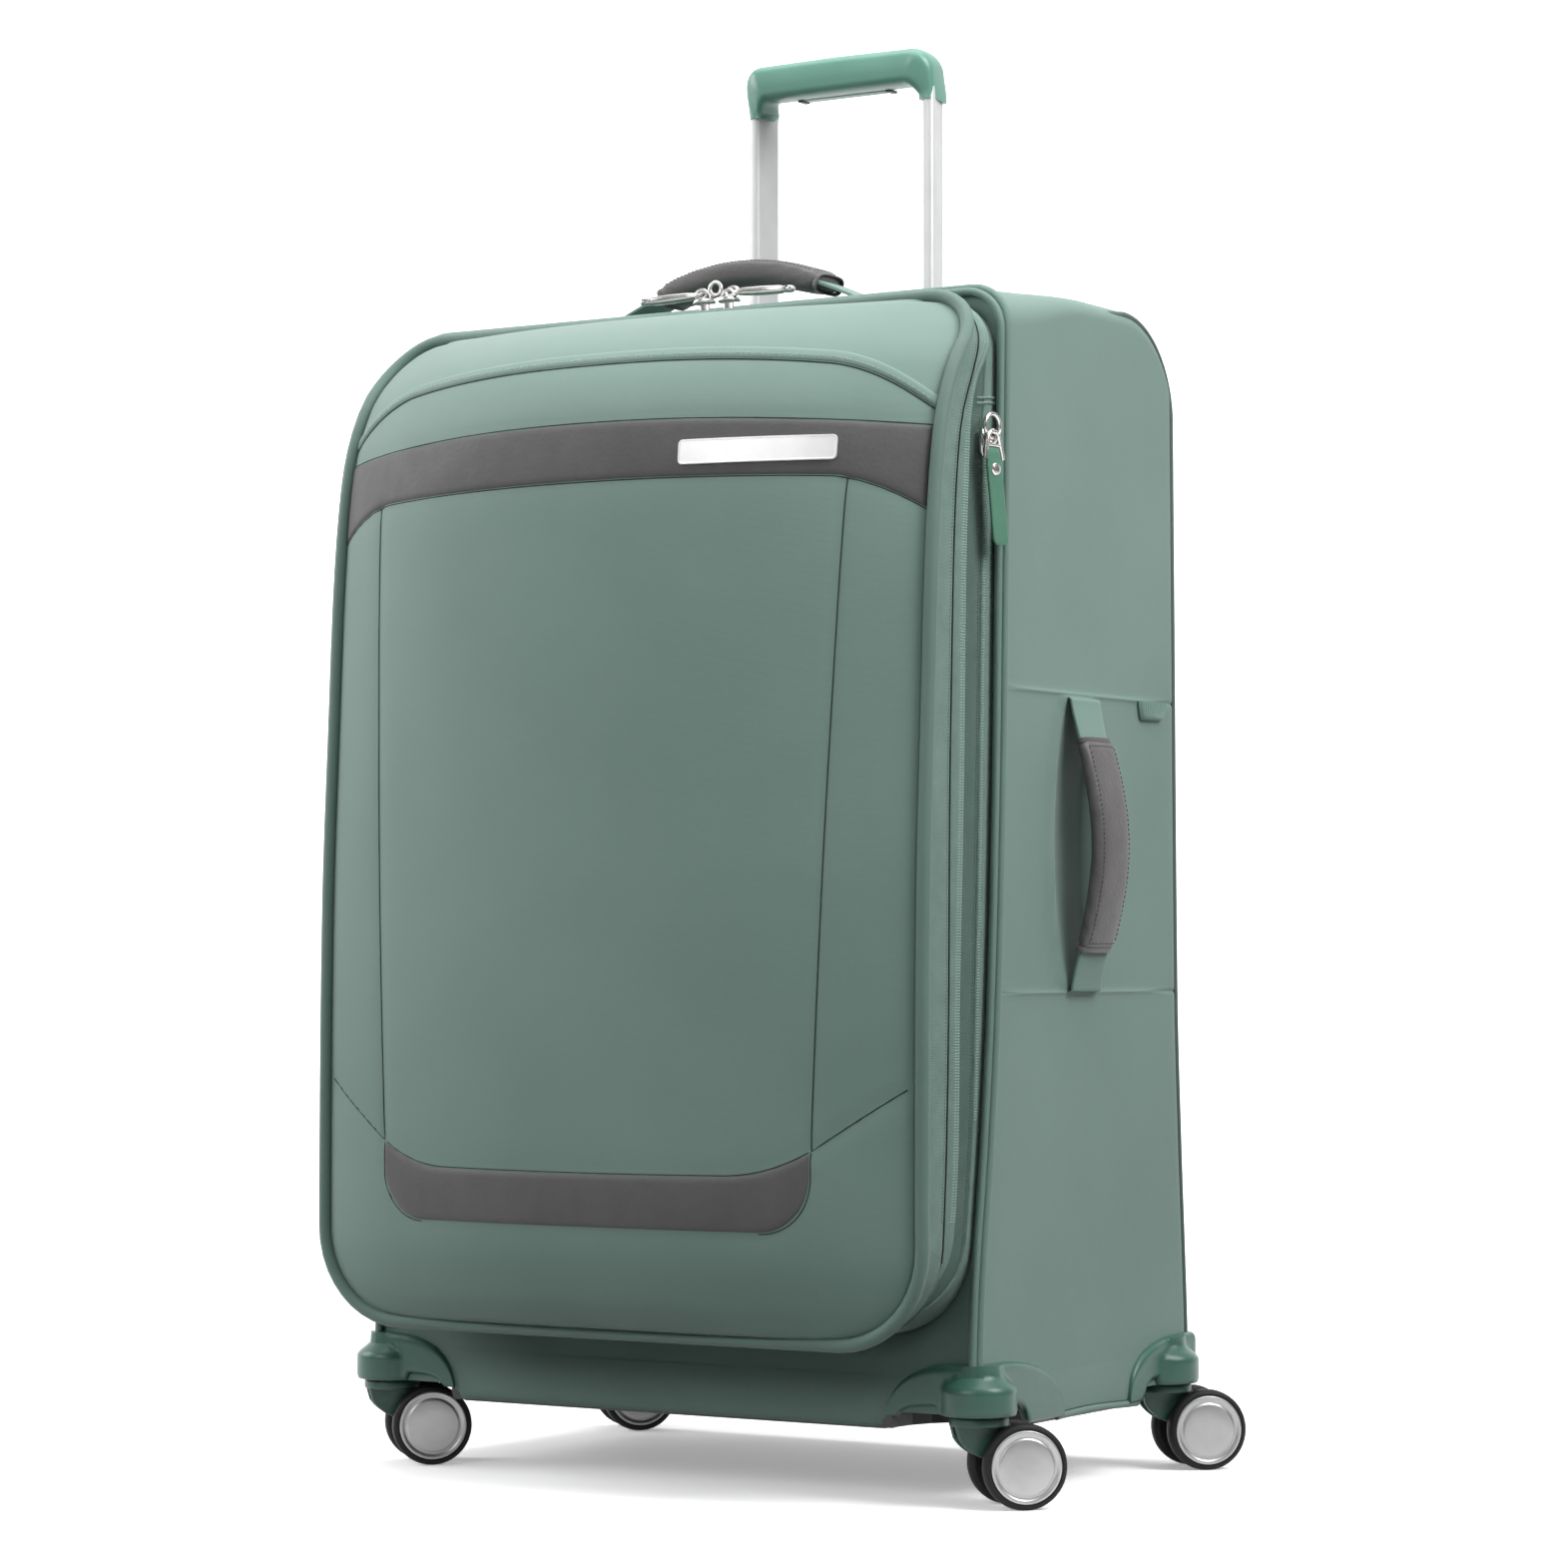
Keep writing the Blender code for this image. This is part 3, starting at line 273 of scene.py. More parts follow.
SAGE = fabric("sage_twill", (99, 124, 116), (108, 133, 125))
SAGE_DARK = fabric("sage_twill_shade", (66, 84, 79), (74, 92, 87))
PIPING = fabric("sage_piping", (92, 119, 110), (101, 129, 120), 0.0007, 0.55)
PIPING_LID = fabric("sage_lid_piping", (80, 105, 97), (89, 115, 107), 0.0007, 0.55)
LINING = fabric("grey_lining", (70, 74, 74), (84, 88, 88), 0.0012, 0.7)
TAPE = webbing("zip_tape", (106, 132, 123), (118, 144, 135))
TAPE_DARK = webbing("zip_tape_shade", (72, 96, 88), (82, 107, 99))
STRAP = fabric("handle_strap", (96, 124, 115), (106, 134, 125), 0.0012)
GREY = leather("grey_suede", (72, 71, 71), (81, 80, 80), 300.0, 0.62)
GREY_GRIP = leather("grey_grip", (78, 76, 76), (90, 88, 88), 380.0, 0.5, 0.00016)
GREEN_LEATHER = leather("green_pull_leather", (66, 112, 92), (78, 126, 105), 500.0, 0.5, 0.00008)
GREEN = plastic("green_plastic", (52, 92, 79), (60, 100, 87), spec=0.4)
GREEN_GRIP = plastic("green_grip_plastic", (86, 134, 119), (94, 143, 128))
GREEN_DEEP = plastic("green_plastic_deep", (38, 72, 62), (46, 82, 71), 0.42)
BLACK = plastic("black_plastic", (22, 23, 23), (32, 33, 33), 0.5)
TYRE = plastic("tyre_rubber", (12, 12, 13), (18, 18, 19), 0.6, 500.0, 0.00008, 0.25)
ALUMINIUM = metal("satin_aluminium", (190, 190, 190), (200, 200, 200), 0.5, "Z", 0.35)
SILVER = metal("hub_silver", (158, 158, 158), (172, 172, 172), 0.36, None, 0.85)
PLATE = metal("name_plate_silver", (202, 202, 203), (212, 212, 213), 0.38, "X", 0.5)
STEEL = metal("nickel", (186, 184, 182), (206, 204, 202), 0.22)
THREAD = fabric("thread_light", (146, 172, 162), (160, 186, 176), 0.0005)
THREAD_DARK = fabric("thread_dark", (50, 68, 62), (60, 78, 72), 0.0005)
THREAD_GREY = fabric("thread_grey", (62, 60, 60), (72, 70, 70), 0.0005)
COIL = plastic("zip_coil", (58, 80, 72), (70, 94, 85), 0.45)
SHADOW = fabric("seam_shadow", (26, 40, 36), (34, 50, 45), 0.0007, 0.9)


# ---------------------------------------------------------------- mesh helpers
def add(name, verts, faces, mat, body, replaces=(), sharp=40, flip=False):
    """Link a mesh given in case coordinates, riding on a body."""
    mesh = bpy.data.meshes.new(name)
    mesh.from_pydata([tuple(Vector(v) + SHIFT) for v in verts], [], [tuple(f) for f in faces])
    if flip:
        mesh.flip_normals()
    return link(name, mesh, mat, body, replaces, sharp)


def link(name, mesh, mat, body, replaces=(), sharp=40):
    mesh.materials.clear()
    for one in mat if isinstance(mat, (list, tuple)) else [mat]:
        mesh.materials.append(one)
    mesh.shade_smooth()
    mesh.set_sharp_from_angle(angle=radians(sharp))
    obj = bpy.data.objects.new(name, mesh)
    bpy.context.scene.collection.objects.link(obj)
    if body:
        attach(obj, body)
    if replaces:
        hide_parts(*replaces)
    return obj


def loft_faces(rows, count, closed):
    """Quads between rows of points; each row joins up with itself where closed."""
    faces = []
    for r in range(rows - 1):
        for i in range(count if closed else count - 1):
            j = (i + 1) % count
            a, b = r * count, (r + 1) * count
            faces.append((a + i, b + i, b + j, a + j))
    return faces


def loft(name, rings, mat, body, replaces=(), closed=True, caps=(False, False),
         sharp=40, flip=False):
    """Skin a row of rings or open lines that all have the same number of points."""
    count = len(rings[0])
    verts = [p for ring in rings for p in ring]
    faces = loft_faces(len(rings), count, closed)
    if caps[0]:
        faces.append(tuple(range(count)))
    if caps[1]:
        faces.append(tuple(reversed(range(len(verts) - count, len(verts)))))
    return add(name, verts, faces, mat, body, replaces, sharp, flip)


def tube_rings(path, radius, sides, closed):
    """Round sections along a path, carried along it without twist."""
    points = [Vector(p) for p in path]
    count = len(points)
    rings = []
    normal = None
    for i, point in enumerate(points):
        ahead = points[(i + 1) % count] if closed else points[min(i + 1, count - 1)]
        behind = points[i - 1] if closed or i else points[0]
        along = (ahead - behind).normalized()
        if normal is None:
            normal = along.orthogonal().normalized()
        normal = (normal - along * normal.dot(along)).normalized()
        side = along.cross(normal)
        rings.append([point + normal * radius * cos(2 * pi * k / sides)
                      + side * radius * sin(2 * pi * k / sides) for k in range(sides)])
    return rings


def tube(name, path, radius, mat, body, replaces=(), sides=10, closed=False):
    rings = tube_rings(path, radius, sides, closed)
    if closed:
        return loft(name, rings + [rings[0]], mat, body, replaces, sharp=60)
    return loft(name, rings, mat, body, replaces, caps=(True, True), sharp=60)


def outline(half, low, high, top_radius, foot_radius, levels):
    """A rounded rectangle in X and Z; its straight sides follow the given inner levels."""
    across, arc = 24, 10
    bottom, top = low + foot_radius + 0.003, high - top_radius - 0.003
    knee_low, knee_high = 0.2, 0.66
    inner = []
    for z in levels:
        if z < knee_low:
            z = bottom + (knee_low - bottom) * (z - levels[-1]) / (knee_low - levels[-1])
        elif z > knee_high:
            z = top - (top - knee_high) * (levels[0] - z) / (levels[0] - knee_high)
        inner.append(z)

    corners = [((half - top_radius, high - top_radius), top_radius, 0),
               ((-half + top_radius, high - top_radius), top_radius, 90),
               ((-half + foot_radius, low + foot_radius), foot_radius, 180),
               ((half - foot_radius, low + foot_radius), foot_radius, 270)]
    flat = []
    for n, ((cx, cz), radius, start) in enumerate(corners):
        for k in range(arc + 1):
            angle = radians(start + 90 * k / arc)
            flat.append((cx + radius * cos(angle), cz + radius * sin(angle)))
        if start in (0, 180):
            sx, sz = flat[-1]
            ex = corners[(n + 1) % 4][0][0]
            flat += [(sx + (ex - sx) * k / (across + 1), sz) for k in range(1, across + 1)]
        elif start == 90:
            flat += [(-half, z) for z in inner]
        else:
            flat += [(half, z) for z in reversed(inner)]
    return flat


def spread(low, high, count):
    return [low + (high - low) * k / (count - 1) for k in range(count)]


def arc(cx, cy, radius, angles):
    """Points of a circle at the given angles."""
    return [(cx + radius * cos(a), cy + radius * sin(a)) for a in angles]


def face_front(obj, index):
    """Turn a sheet's faces to the front, judged by one of them."""
    if obj.data.polygons[index].normal.y > 0:
        obj.data.flip_normals()


def add_lining(obj, thickness):
    """Give a fabric skin its thickness, with the lining's material inside."""
    wall = obj.modifiers.new("wall", "SOLIDIFY")
    wall.thickness = thickness
    wall.offset = -1
    wall.material_offset = 1


def seam_levels(low, high, seams):
    """Heights from high to low with rows packed close beside each seam."""
    step, near = 0.012, 0.006
    rows = set(round(z, 5) for z in spread(low, high, int((high - low) / step) + 2))
    for seam in seams:
        rows = set(z for z in rows if abs(z - seam) > near)
        rows |= set(round(seam + d, 5)
                    for d in (-near, -0.003, -0.0015, -0.0007, 0, 0.0007, 0.0015, 0.003, near))
    return sorted(rows, reverse=True)


def smooth(t):
    """An ease from 0 to 1."""
    t = min(max(t, 0.0), 1.0)
    return t * t * (3 - 2 * t)


def groove(distance, width, depth):
    """Depth of a soft groove at a distance from its middle."""
    return depth * exp(-(distance / width) ** 2)


# ---------------------------------------------------------------- case
SIDE_SEAMS = (0.5237, 0.3263)
SIDE_HOLLOW_HALF, SIDE_HOLLOW_DEPTH, SIDE_BULGE = 0.098, 0.0105, 0.0022
SIDE_HOLLOW_FRONT, SIDE_HOLLOW_BACK = -0.0175, 0.019
CASE_LEVELS = seam_levels(0.11, 0.69, SIDE_SEAMS)


def roundover(depth, radius):
    """How far a rounded back edge has fallen at a depth from the back."""
    if depth >= radius:
        return 0.0
    return radius - sqrt(radius ** 2 - (radius - depth) ** 2)


def side_dent(x, y, z):
    """How far the side panels are pressed in: seams, the hollow by the handle, soft fabric."""
    dent = sum(groove(z - seam, 0.0012, 0.0011) for seam in SIDE_SEAMS)
    if x > 0 and SIDE_SEAMS[1] < z < SIDE_SEAMS[0]:
        middle = (SIDE_SEAMS[0] + SIDE_SEAMS[1]) / 2
        lens = max(1 - ((z - middle) / SIDE_HOLLOW_HALF) ** 2, 0.0)
        reach = 0.004 + 0.024 * lens
        if y < SIDE_HOLLOW_FRONT:
            share = smooth((y - SIDE_HOLLOW_FRONT + reach) / reach)
        elif y < SIDE_HOLLOW_BACK:
            share = 1.0
        else:
            share = 1 - smooth((y - SIDE_HOLLOW_BACK) / 0.006)
        dent += SIDE_HOLLOW_DEPTH * lens ** 0.6 * share
    bulge = sin(pi * min(max((z - 0.07) / 0.7, 0), 1)) * sin(pi * min(max((y + 0.12) / 0.25, 0), 1))
    return dent - SIDE_BULGE * max(bulge, 0.0)


def case_points(flat, y_at):
    """A ring of the case with its side panels pressed in."""
    points = []
    for x, z in flat:
        y = y_at(z)
        if abs(x) > CASE_HALF - 0.03 and 0.085 < z < 0.765 and y > front_y(z) + 0.001:
            x -= copysign(side_dent(x, y, z), x)
        points.append((x, y, z))
    return points


def corner_share(x):
    """How much the soft top corners stand up beside the flat middle that holds the handles."""
    return smooth((abs(x) - 0.1) / 0.11)


def puffed(side, drop, corner_drop, share):
    """Outline of the case whose top corners are fuller toward the back."""
    flat = outline(CASE_HALF - side, CASE_LOW + side, CASE_TOP - drop,
                   max(CASE_CORNER - side, 0.006), max(CASE_FOOT_CORNER - side, 0.004), CASE_LEVELS)
    full = outline(CASE_HALF - side, CASE_LOW + side, CASE_TOP + PUFF_RISE * share - corner_drop,
                   max(CASE_CORNER - PUFF_CORNER * share - side, 0.004),
                   max(CASE_FOOT_CORNER - side, 0.004), CASE_LEVELS)
    return [(x, low + (high - low) * corner_share(x)) for (_, low), (x, high) in zip(flat, full)]


def build_case():
    """The fabric body as rings from the front flange round to the middle of the back."""
    levels = CASE_LEVELS
    rings = []
    for inset, foot, back in ((FLANGE_SIDE + 0.002, FLANGE_FOOT + 0.002, 0.003),
                              (FLANGE_SIDE, FLANGE_FOOT, 0.0006), (0.01, 0.03, 0.0),
                              (0.004, 0.01, 0.0), (0.0014, 0.0018, 0.0), (0.0003, 0.0004, 0.0008),
                              (0.0, 0.0, 0.0024)):
        radius = max(CASE_CORNER - inset, 0.004)
        foot_radius = max(CASE_FOOT_CORNER - inset, 0.003)
        if foot > 0.02:
            foot_radius = BAND_FOOT_CORNER - 0.012
        flat = outline(CASE_HALF - inset, CASE_LOW + foot, CASE_TOP - inset, radius, foot_radius,
                       levels)
        rings.append(case_points(flat, lambda z: front_y(z) + back))
    for t in spread(0.03, 1.0, 22):
        full = puffed(0.0, 0.0, 0.0, smooth(t / 0.75))
        rings.append(case_points(full, lambda z: front_y(z) + (0.055 - front_y(z)) * t))
    for depth in (0.0815, 0.07, 0.0595, 0.052, 0.045, 0.039, 0.033, 0.027, 0.021, 0.016, 0.012,
                  0.0085, 0.0055, 0.003, 0.0013, 0.0003):
        side = roundover(depth, SIDE_BACK_RADIUS)
        flat = puffed(side, roundover(depth, TOP_BACK_RADIUS), roundover(depth, PUFF_BACK_RADIUS),
                      1.0)
        rings.append(case_points(flat, lambda z: back_y(z) - depth))
    last = flat
    for scale in (0.97, 0.9, 0.75, 0.5, 0.25, 0.06):
        ring = []
        for x, z in last:
            zz = 0.4 + (z - 0.4) * scale
            swell = 0.0016 * (1 - scale) * (1 + 0.4 * sin(zz * 21))
            ring.append((x * scale, back_y(zz) + swell, zz))
        rings.append(ring)
    shell = loft("case_fabric", rings, [SAGE, LINING], "case",
                 ["case_shell", "tag_pocket"], caps=(False, True), sharp=55)
    add_lining(shell, 0.0032)


def arch_path(half, foot, top, radius, depth_at):
    """Up one side, over the rounded top and down the other."""
    step = 0.01
    side = [(half, z) for z in spread(foot, top - radius, int((top - radius - foot) / step))]
    corner = arc(half - radius, top - radius, radius, spread(0, pi / 2, 12)[1:])
    run = [(x, top) for x in spread(half - radius, -(half - radius), 30)][1:-1]
    flat = side + corner + run + [(-x, z) for x, z in reversed(side + corner)]
    return [(x, depth_at(x, z), z) for x, z in flat]


def build_case_pipings():
    """Front edge binding of two soft ridges, and a thin piping round the back."""
    for name, out, ahead, radius in (("front_piping_outer", 0.0002, 0.0006, 0.003),
                                     ("front_piping_inner", -0.0022, -0.0034, 0.0026)):
        path = arch_path(CASE_HALF + out - 0.0008, 0.078, CASE_TOP + out - 0.0008, CASE_CORNER,
                         lambda x, z: front_y(z) + ahead)
        tube(name, path, radius, PIPING, "case", ["front_piping"], 12)
    # thin piping up each side panel's back edge, round its big corner and forward along the top
    sunk, high, bend = 0.0018, CASE_TOP + PUFF_RISE, PUFF_BACK_RADIUS
    for sx, side_name in reversed(SIDES):
        path = [(sx * (CASE_HALF - sunk), back_y(z) - sunk, z)
                for z in spread(0.078, high - bend - 0.004, 70)]
        for angle in spread(0, pi / 2, 30):
            deep = bend * (1 - cos(angle)) + sunk * cos(angle)
            z = high - bend + (bend - sunk * 2.0) * sin(angle)
            path.append((sx * (CASE_HALF - sunk * (1 + 0.8 * sin(angle))), back_y(z) - deep, z))
        for t in spread(0.08, 1.0, 14):
            path.append((sx * (CASE_HALF - 0.0033 - 0.0034 * t), back_y(high) - bend - 0.075 * t,
                         high - 0.0037 - 0.006 * t))
        tube(f"rear_piping_cord_{side_name}", path, 0.0021, SAGE_DARK, "case",
             ["rear_piping"], 10)


# ---------------------------------------------------------------- gusset and zips
BAND_LEVELS = spread(0.72, 0.176, 56)


def band_line(inset, y_at):
    """A closed line round the gusset."""
    flat = outline(BAND_HALF - inset, BAND_LOW + inset, BAND_TOP - inset, BAND_CORNER - inset,
                   BAND_FOOT_CORNER - inset, BAND_LEVELS)
    return [(x, y_at(z), z) for x, z in flat]


def between(z, y):
    """Keep a line of the gusset between the main zip and the case."""
    return min(max(y, zip_y(z) + 0.0006), front_y(z) - 0.0002)


def strip(name, stations, mat, body, replaces=()):
    """A sewn strip round the gusset; each station is (inset, curve of depth, offset from it)."""
    rings = [band_line(inset, lambda z: curve(z) + offset) for inset, curve, offset in stations]
    return loft(name, rings, mat, body, replaces, sharp=50)


def stitch_row(name, path, size, mat, body, pitch=0.0022, out=None):
    """Small rounded stitches along a path; size is (length, width, height)."""
    points = [Vector(p) for p in path]
    length = [0.0]
    for a, b in zip(points, points[1:]):
        length.append(length[-1] + (b - a).length)
    count = int(length[-1] / pitch)
    verts, faces = [], []
    k = 0
    for n in range(count):
        at = (n + 0.5) * pitch
        while k < len(points) - 2 and length[k + 1] < at:
            k += 1
        t = (at - length[k]) / max(length[k + 1] - length[k], 1e-9)
        centre = points[k].lerp(points[k + 1], t)
        along = (points[k + 1] - points[k]).normalized()
        up = Vector(out(centre)) if out else Vector((1 if centre.x > 0 else -1, 0, 0))
        up = (up - along * up.dot(along)).normalized()
        side = along.cross(up)
        start = len(verts)
        for s, a, h in ((1, 0, 0), (0.62, 1, 0), (-0.62, 1, 0), (-1, 0, 0), (-0.62, -1, 0),
                        (0.62, -1, 0), (0.55, 0.35, 1), (-0.55, 0.35, 1), (-0.55, -0.35, 1),
                        (0.55, -0.35, 1)):
            verts.append(centre + along * s * size[0] / 2 + side * a * size[1] / 2
                         + up * (h * size[2] - 0.0001))
        for face in ((0, 1, 6), (0, 6, 9), (0, 9, 5), (1, 2, 7, 6), (2, 3, 7), (3, 8, 7),
                     (3, 4, 8), (4, 5, 9, 8), (6, 7, 8, 9)):
            faces.append(tuple(start + i for i in face))
    return add(name, verts, faces, mat, body)


def band_out(point):
    """Outward direction of the gusset's side at a point."""
    x, z = point.x, point.z
    cz_top, cz_low = BAND_TOP - BAND_CORNER, BAND_LOW + BAND_FOOT_CORNER
    if z > cz_top:
        cx = max(abs(x) - (BAND_HALF - BAND_CORNER), 0.0)
        return (copysign(cx, x), 0, z - cz_top)
    if z < cz_low:
        cx = max(abs(x) - (BAND_HALF - BAND_FOOT_CORNER), 0.0)
        return (copysign(cx, x), 0, z - cz_low)
    return (copysign(1, x), 0, 0)


def zip_run(inset, y_at, low, high=None):
    """A line on the gusset between two heights: one or two side runs, or over the top."""
    line = band_line(inset, y_at)
    if high is None:
        right = [p for p in line if p[0] >= 0 and p[2] > low]
        left = [p for p in line if p[0] < 0 and p[2] > low]
        right.sort(key=lambda p: (p[2] if p[0] > BAND_HALF - BAND_CORNER
                                  else 1 + (BAND_HALF - p[0])))
        left.sort(key=lambda p: (p[2] if p[0] < -(BAND_HALF - BAND_CORNER)
                                 else 1 + (BAND_HALF + p[0])))
        return [right + left[::-1]]
    runs = []
    for side in (1, -1):
        run = [p for p in line if p[0] * side > BAND_HALF - 0.045 and low < p[2] < high]
        runs.append(sorted(run, key=lambda p: p[2]))
    return runs


def build_gusset():
    """Tapes, zip channel, sleeve, ribs and stitches of the expansion gusset."""
    def seam(z):
        return between(z, max(seam_y(z), zip_y(z) + 0.002))

    def gap(z):
        return between(z, max(gap_y(z), seam(z) + 0.0012))

    def depth(z):
        return front_y(z) + (0.045 - 0.039 * (z - BAND_LOW) / (BAND_TOP - BAND_LOW))

    # front tape, from the main zip's teeth to the gusset seam, standing a little proud
    strip("gusset_front_tape",
          [(0.003, zip_y, 0.0002), (0.0004, zip_y, 0.0002), (-0.0002, zip_y, 0.0009),
           (-0.0008, lambda z: (zip_y(z) + seam(z)) / 2, 0.0), (-0.0009, seam, -0.001),
           (-0.0002, seam, -0.0002), (0.003, seam, 0.0)], TAPE, "expander",
          ["expander_band"])
    strip("gusset_middle_tape",
          [(0.0026, seam, -0.0004), (0.0014, seam, 0.0004),
           (0.001, lambda z: (seam(z) + gap(z)) / 2, 0.0), (0.0012, gap, -0.0016),
           (0.0016, gap, -0.0007), (0.005, gap, -0.0005)], TAPE_DARK, "expander")
    strip("gusset_zip_channel", [(0.005, gap, -0.0007), (0.0054, gap, 0.0), (0.005, gap, 0.0007)],
          SHADOW, "expander")
    strip("gusset_rear_tape",
          [(0.005, lambda z: between(z, gap(z) + 0.0005), 0.0),
           (0.001, lambda z: between(z, gap(z) + 0.0006), 0.0),
           (0.0003, lambda z: between(z, gap(z) + 0.0012), 0.0),
           (0.0002, lambda z: (gap(z) + front_y(z)) / 2, 0.0), (0.0006, front_y, -0.0008),
           (0.0022, front_y, -0.0002)], TAPE, "expander")
    # sleeve that fills the gap when the case is expanded, and the gusset's lining
    strip("gusset_sleeve",
          [(0.0022, front_y, -0.0004), (0.0135, front_y, -0.0006), (0.014, depth, 0.0),
           (0.0155, depth, 0.0), (0.015, front_y, -0.003), (0.0058, front_y, -0.0036),
           (0.0058, zip_y, 0.0012), (0.0028, zip_y, 0.0004)], LINING, "expander")
    for side, run in zip(("right", "left"), zip_run(-0.0001, lambda z: gap(z) - 0.0034, 0.15, 0.7)):
        stitch_row(f"expansion_zip_stitch_{side}",
                   [(p[0] - copysign(0.001, p[0]), p[1], p[2]) for p in run],
                   (0.0013, 0.0012, 0.0004), COIL, "expander", out=band_out)
    for side, run in zip(("right", "left"), zip_run(0.0001, lambda z: gap(z) + 0.0028, 0.24, 0.7)):
        stitch_row(f"expansion_zip_back_stitch_{side}", run, (0.001, 0.003, 0.0005), THREAD,
                   "expander", pitch=0.0018, out=band_out)
    for n, back in enumerate((0.002, 0.0056)):
        for run in zip_run(-0.0009, lambda z: max(seam(z) - back, zip_y(z) + 0.0012), 0.17):
            stitch_row(f"main_zip_rib_{n + 1}", run, (0.001, 0.003, 0.0005), THREAD, "expander",
                       pitch=0.0018, out=band_out)
    for name, inset, y_at in (("front", -0.0002, lambda z: zip_y(z) + 0.0003),
                              ("seam", 0.0004, seam)):
        for run in zip_run(inset, y_at, 0.15):
            tube(f"gusset_line_{name}", run, 0.0006, SHADOW, "expander", sides=6)


# ---------------------------------------------------------------- lid
def lid_half_at(z):
    """Half width of the lid at a height."""
    half, low, high, top, foot = LID_HALF, LID_LOW, LID_TOP, BAND_CORNER, BAND_FOOT_CORNER
    if z > high - top:
        fall = min(z - (high - top), top)
        return half - top + sqrt(max(top ** 2 - fall ** 2, 0.0))
    if z < low + foot:
        fall = min(low + foot - z, foot)
        return half - foot + sqrt(max(foot ** 2 - fall ** 2, 0.0))
    return half


SEAM_LOW, SEAM_TOP = 0.228, 0.652


def inner_seam_x(z):
    """Half distance between the two long seams beside the lid's middle panel."""
    return 0.167 + 0.017 * (z - SEAM_LOW) / (SEAM_TOP - SEAM_LOW)


def pocket_z(x):
    """Upper edge of the pocket flap's binding."""
    s, knee = abs(x), 0.165
    if s < knee:
        return 0.7445 - 0.0075 * (s / knee) ** 2.4
    t = (s - knee) / 0.066
    return 0.737 - 0.01 * t - 0.023 * t ** 2.0


def band_top_z(x):
    """Upper edge of the upper grey band."""
    return 0.695 - 0.0095 * (abs(x) / 0.231) ** 2


def band_low_z(x):
    """Lower edge of the upper grey band, which drops beside the long seams."""
    s, knee = abs(x), 0.176
    if s < knee:
        return 0.657 - 0.003 * (s / knee) ** 2
    t = (s - knee) / 0.055
    return 0.654 - 0.0075 * t - 0.0155 * t ** 2


def foot_top_z(x):
    """Upper edge of the lower grey band."""
    s, knee = abs(x), 0.11
    if s < knee:
        return 0.211 + 0.0006 * (s / knee) ** 2
    t = (s - knee) / 0.057
    return 0.2116 + 0.002 * t + 0.0144 * t ** 2.2


def foot_low_z(x):
    """Lower edge of the lower grey band, with its rounded bottom corners."""
    s, flat, half, radius = abs(x), 0.176, 0.1655, 0.034
    if s < half - radius:
        return flat
    t = min((s - (half - radius)) / radius, 1.0)
    return flat + radius * (1 - sqrt(max(1 - t ** 2, 0.0))) * 1.02


def seam_polylines():
    """Centre lines of the lid's sewn seams in X and Z, right side; the left mirrors them."""
    lines = [[(inner_seam_x(z), z) for z in spread(SEAM_TOP, SEAM_LOW, 40)],
             [(0.167 + 0.064 * t, SEAM_LOW + 0.043 * t) for t in spread(0, 1, 12)]]
    return lines + [[(-x, z) for x, z in line] for line in lines]


SEAM_ARRAY = [np.array(line) for line in seam_polylines()]


def seam_distance(x, z):
    """Distance from a point of the lid to its nearest seam."""
    best = 1.0
    for line in SEAM_ARRAY:
        a, b = line[:-1], line[1:]
        d = b - a
        t = np.clip(((x - a[:, 0]) * d[:, 0] + (z - a[:, 1]) * d[:, 1]) / (d ** 2).sum(1), 0, 1)
        near = np.hypot(a[:, 0] + t * d[:, 0] - x, a[:, 1] + t * d[:, 1] - z).min()
        best = min(best, near)
    return best


def lid_base_y(x, z):
    """The lid's crowned front before the seams draw it in."""
    half = lid_half_at(z)
    edge, crown = lid_edge_y(z) + 0.0014, lid_crown_y(z)
    share = min(abs(x) / max(half, 0.001), 1.0)
    puff = min(LID_PUFF, max(edge - crown, 0.0))
    crowned = min(crown + puff - edge, 0.0) * (1 - share ** LID_POWER)
    return edge - puff * (1 - share ** 22) + crowned


def lid_y(x, z):
    """The lid's front with its fabric drawn in softly along the seams."""
    half = lid_half_at(z)
    room = min(half - abs(x), z - LID_LOW, LID_TOP - z)
    fade = smooth(room / 0.012)
    pull = 0.0013 * exp(-seam_distance(x, z) / 0.005)
    for edge in (band_top_z(x), band_low_z(x)):
        pull += 0.0008 * exp(-abs(z - edge) / 0.006)
    if abs(x) < 0.17:
        pull += 0.0008 * exp(-abs(z - foot_top_z(x)) / 0.006)
        pull += 0.0008 * exp(-abs(z - foot_low_z(x)) / 0.006)
    return lid_base_y(x, z) + pull * fade


def lid_normal(x, z):
    near = 0.0015
    dx = (lid_base_y(x + near, z) - lid_base_y(x - near, z)) / (2 * near)
    dz = (lid_base_y(x, z + near) - lid_base_y(x, z - near)) / (2 * near)
    return Vector((dx, -1, dz)).normalized()


def on_lid(x, z, lift=0.0):
    """A point on the lid's front, lifted off it."""
    return Vector((x, lid_y(x, z), z)) + lid_normal(x, z) * lift


def lid_columns(z):
    """X positions across the lid, with a column on each long seam and rows close beside it."""
    half = lid_half_at(z)
    seam = min(inner_seam_x(z), half * 0.86)
    inner = [seam * t for t in spread(-1, 1, 61)]
    near = [seam + d for d in (0.0012, 0.003, 0.006)]
    outer = near + [near[-1] + (half - near[-1]) * t for t in spread(0, 1, 16)][1:]
    return [-x for x in reversed(outer)] + inner + outer


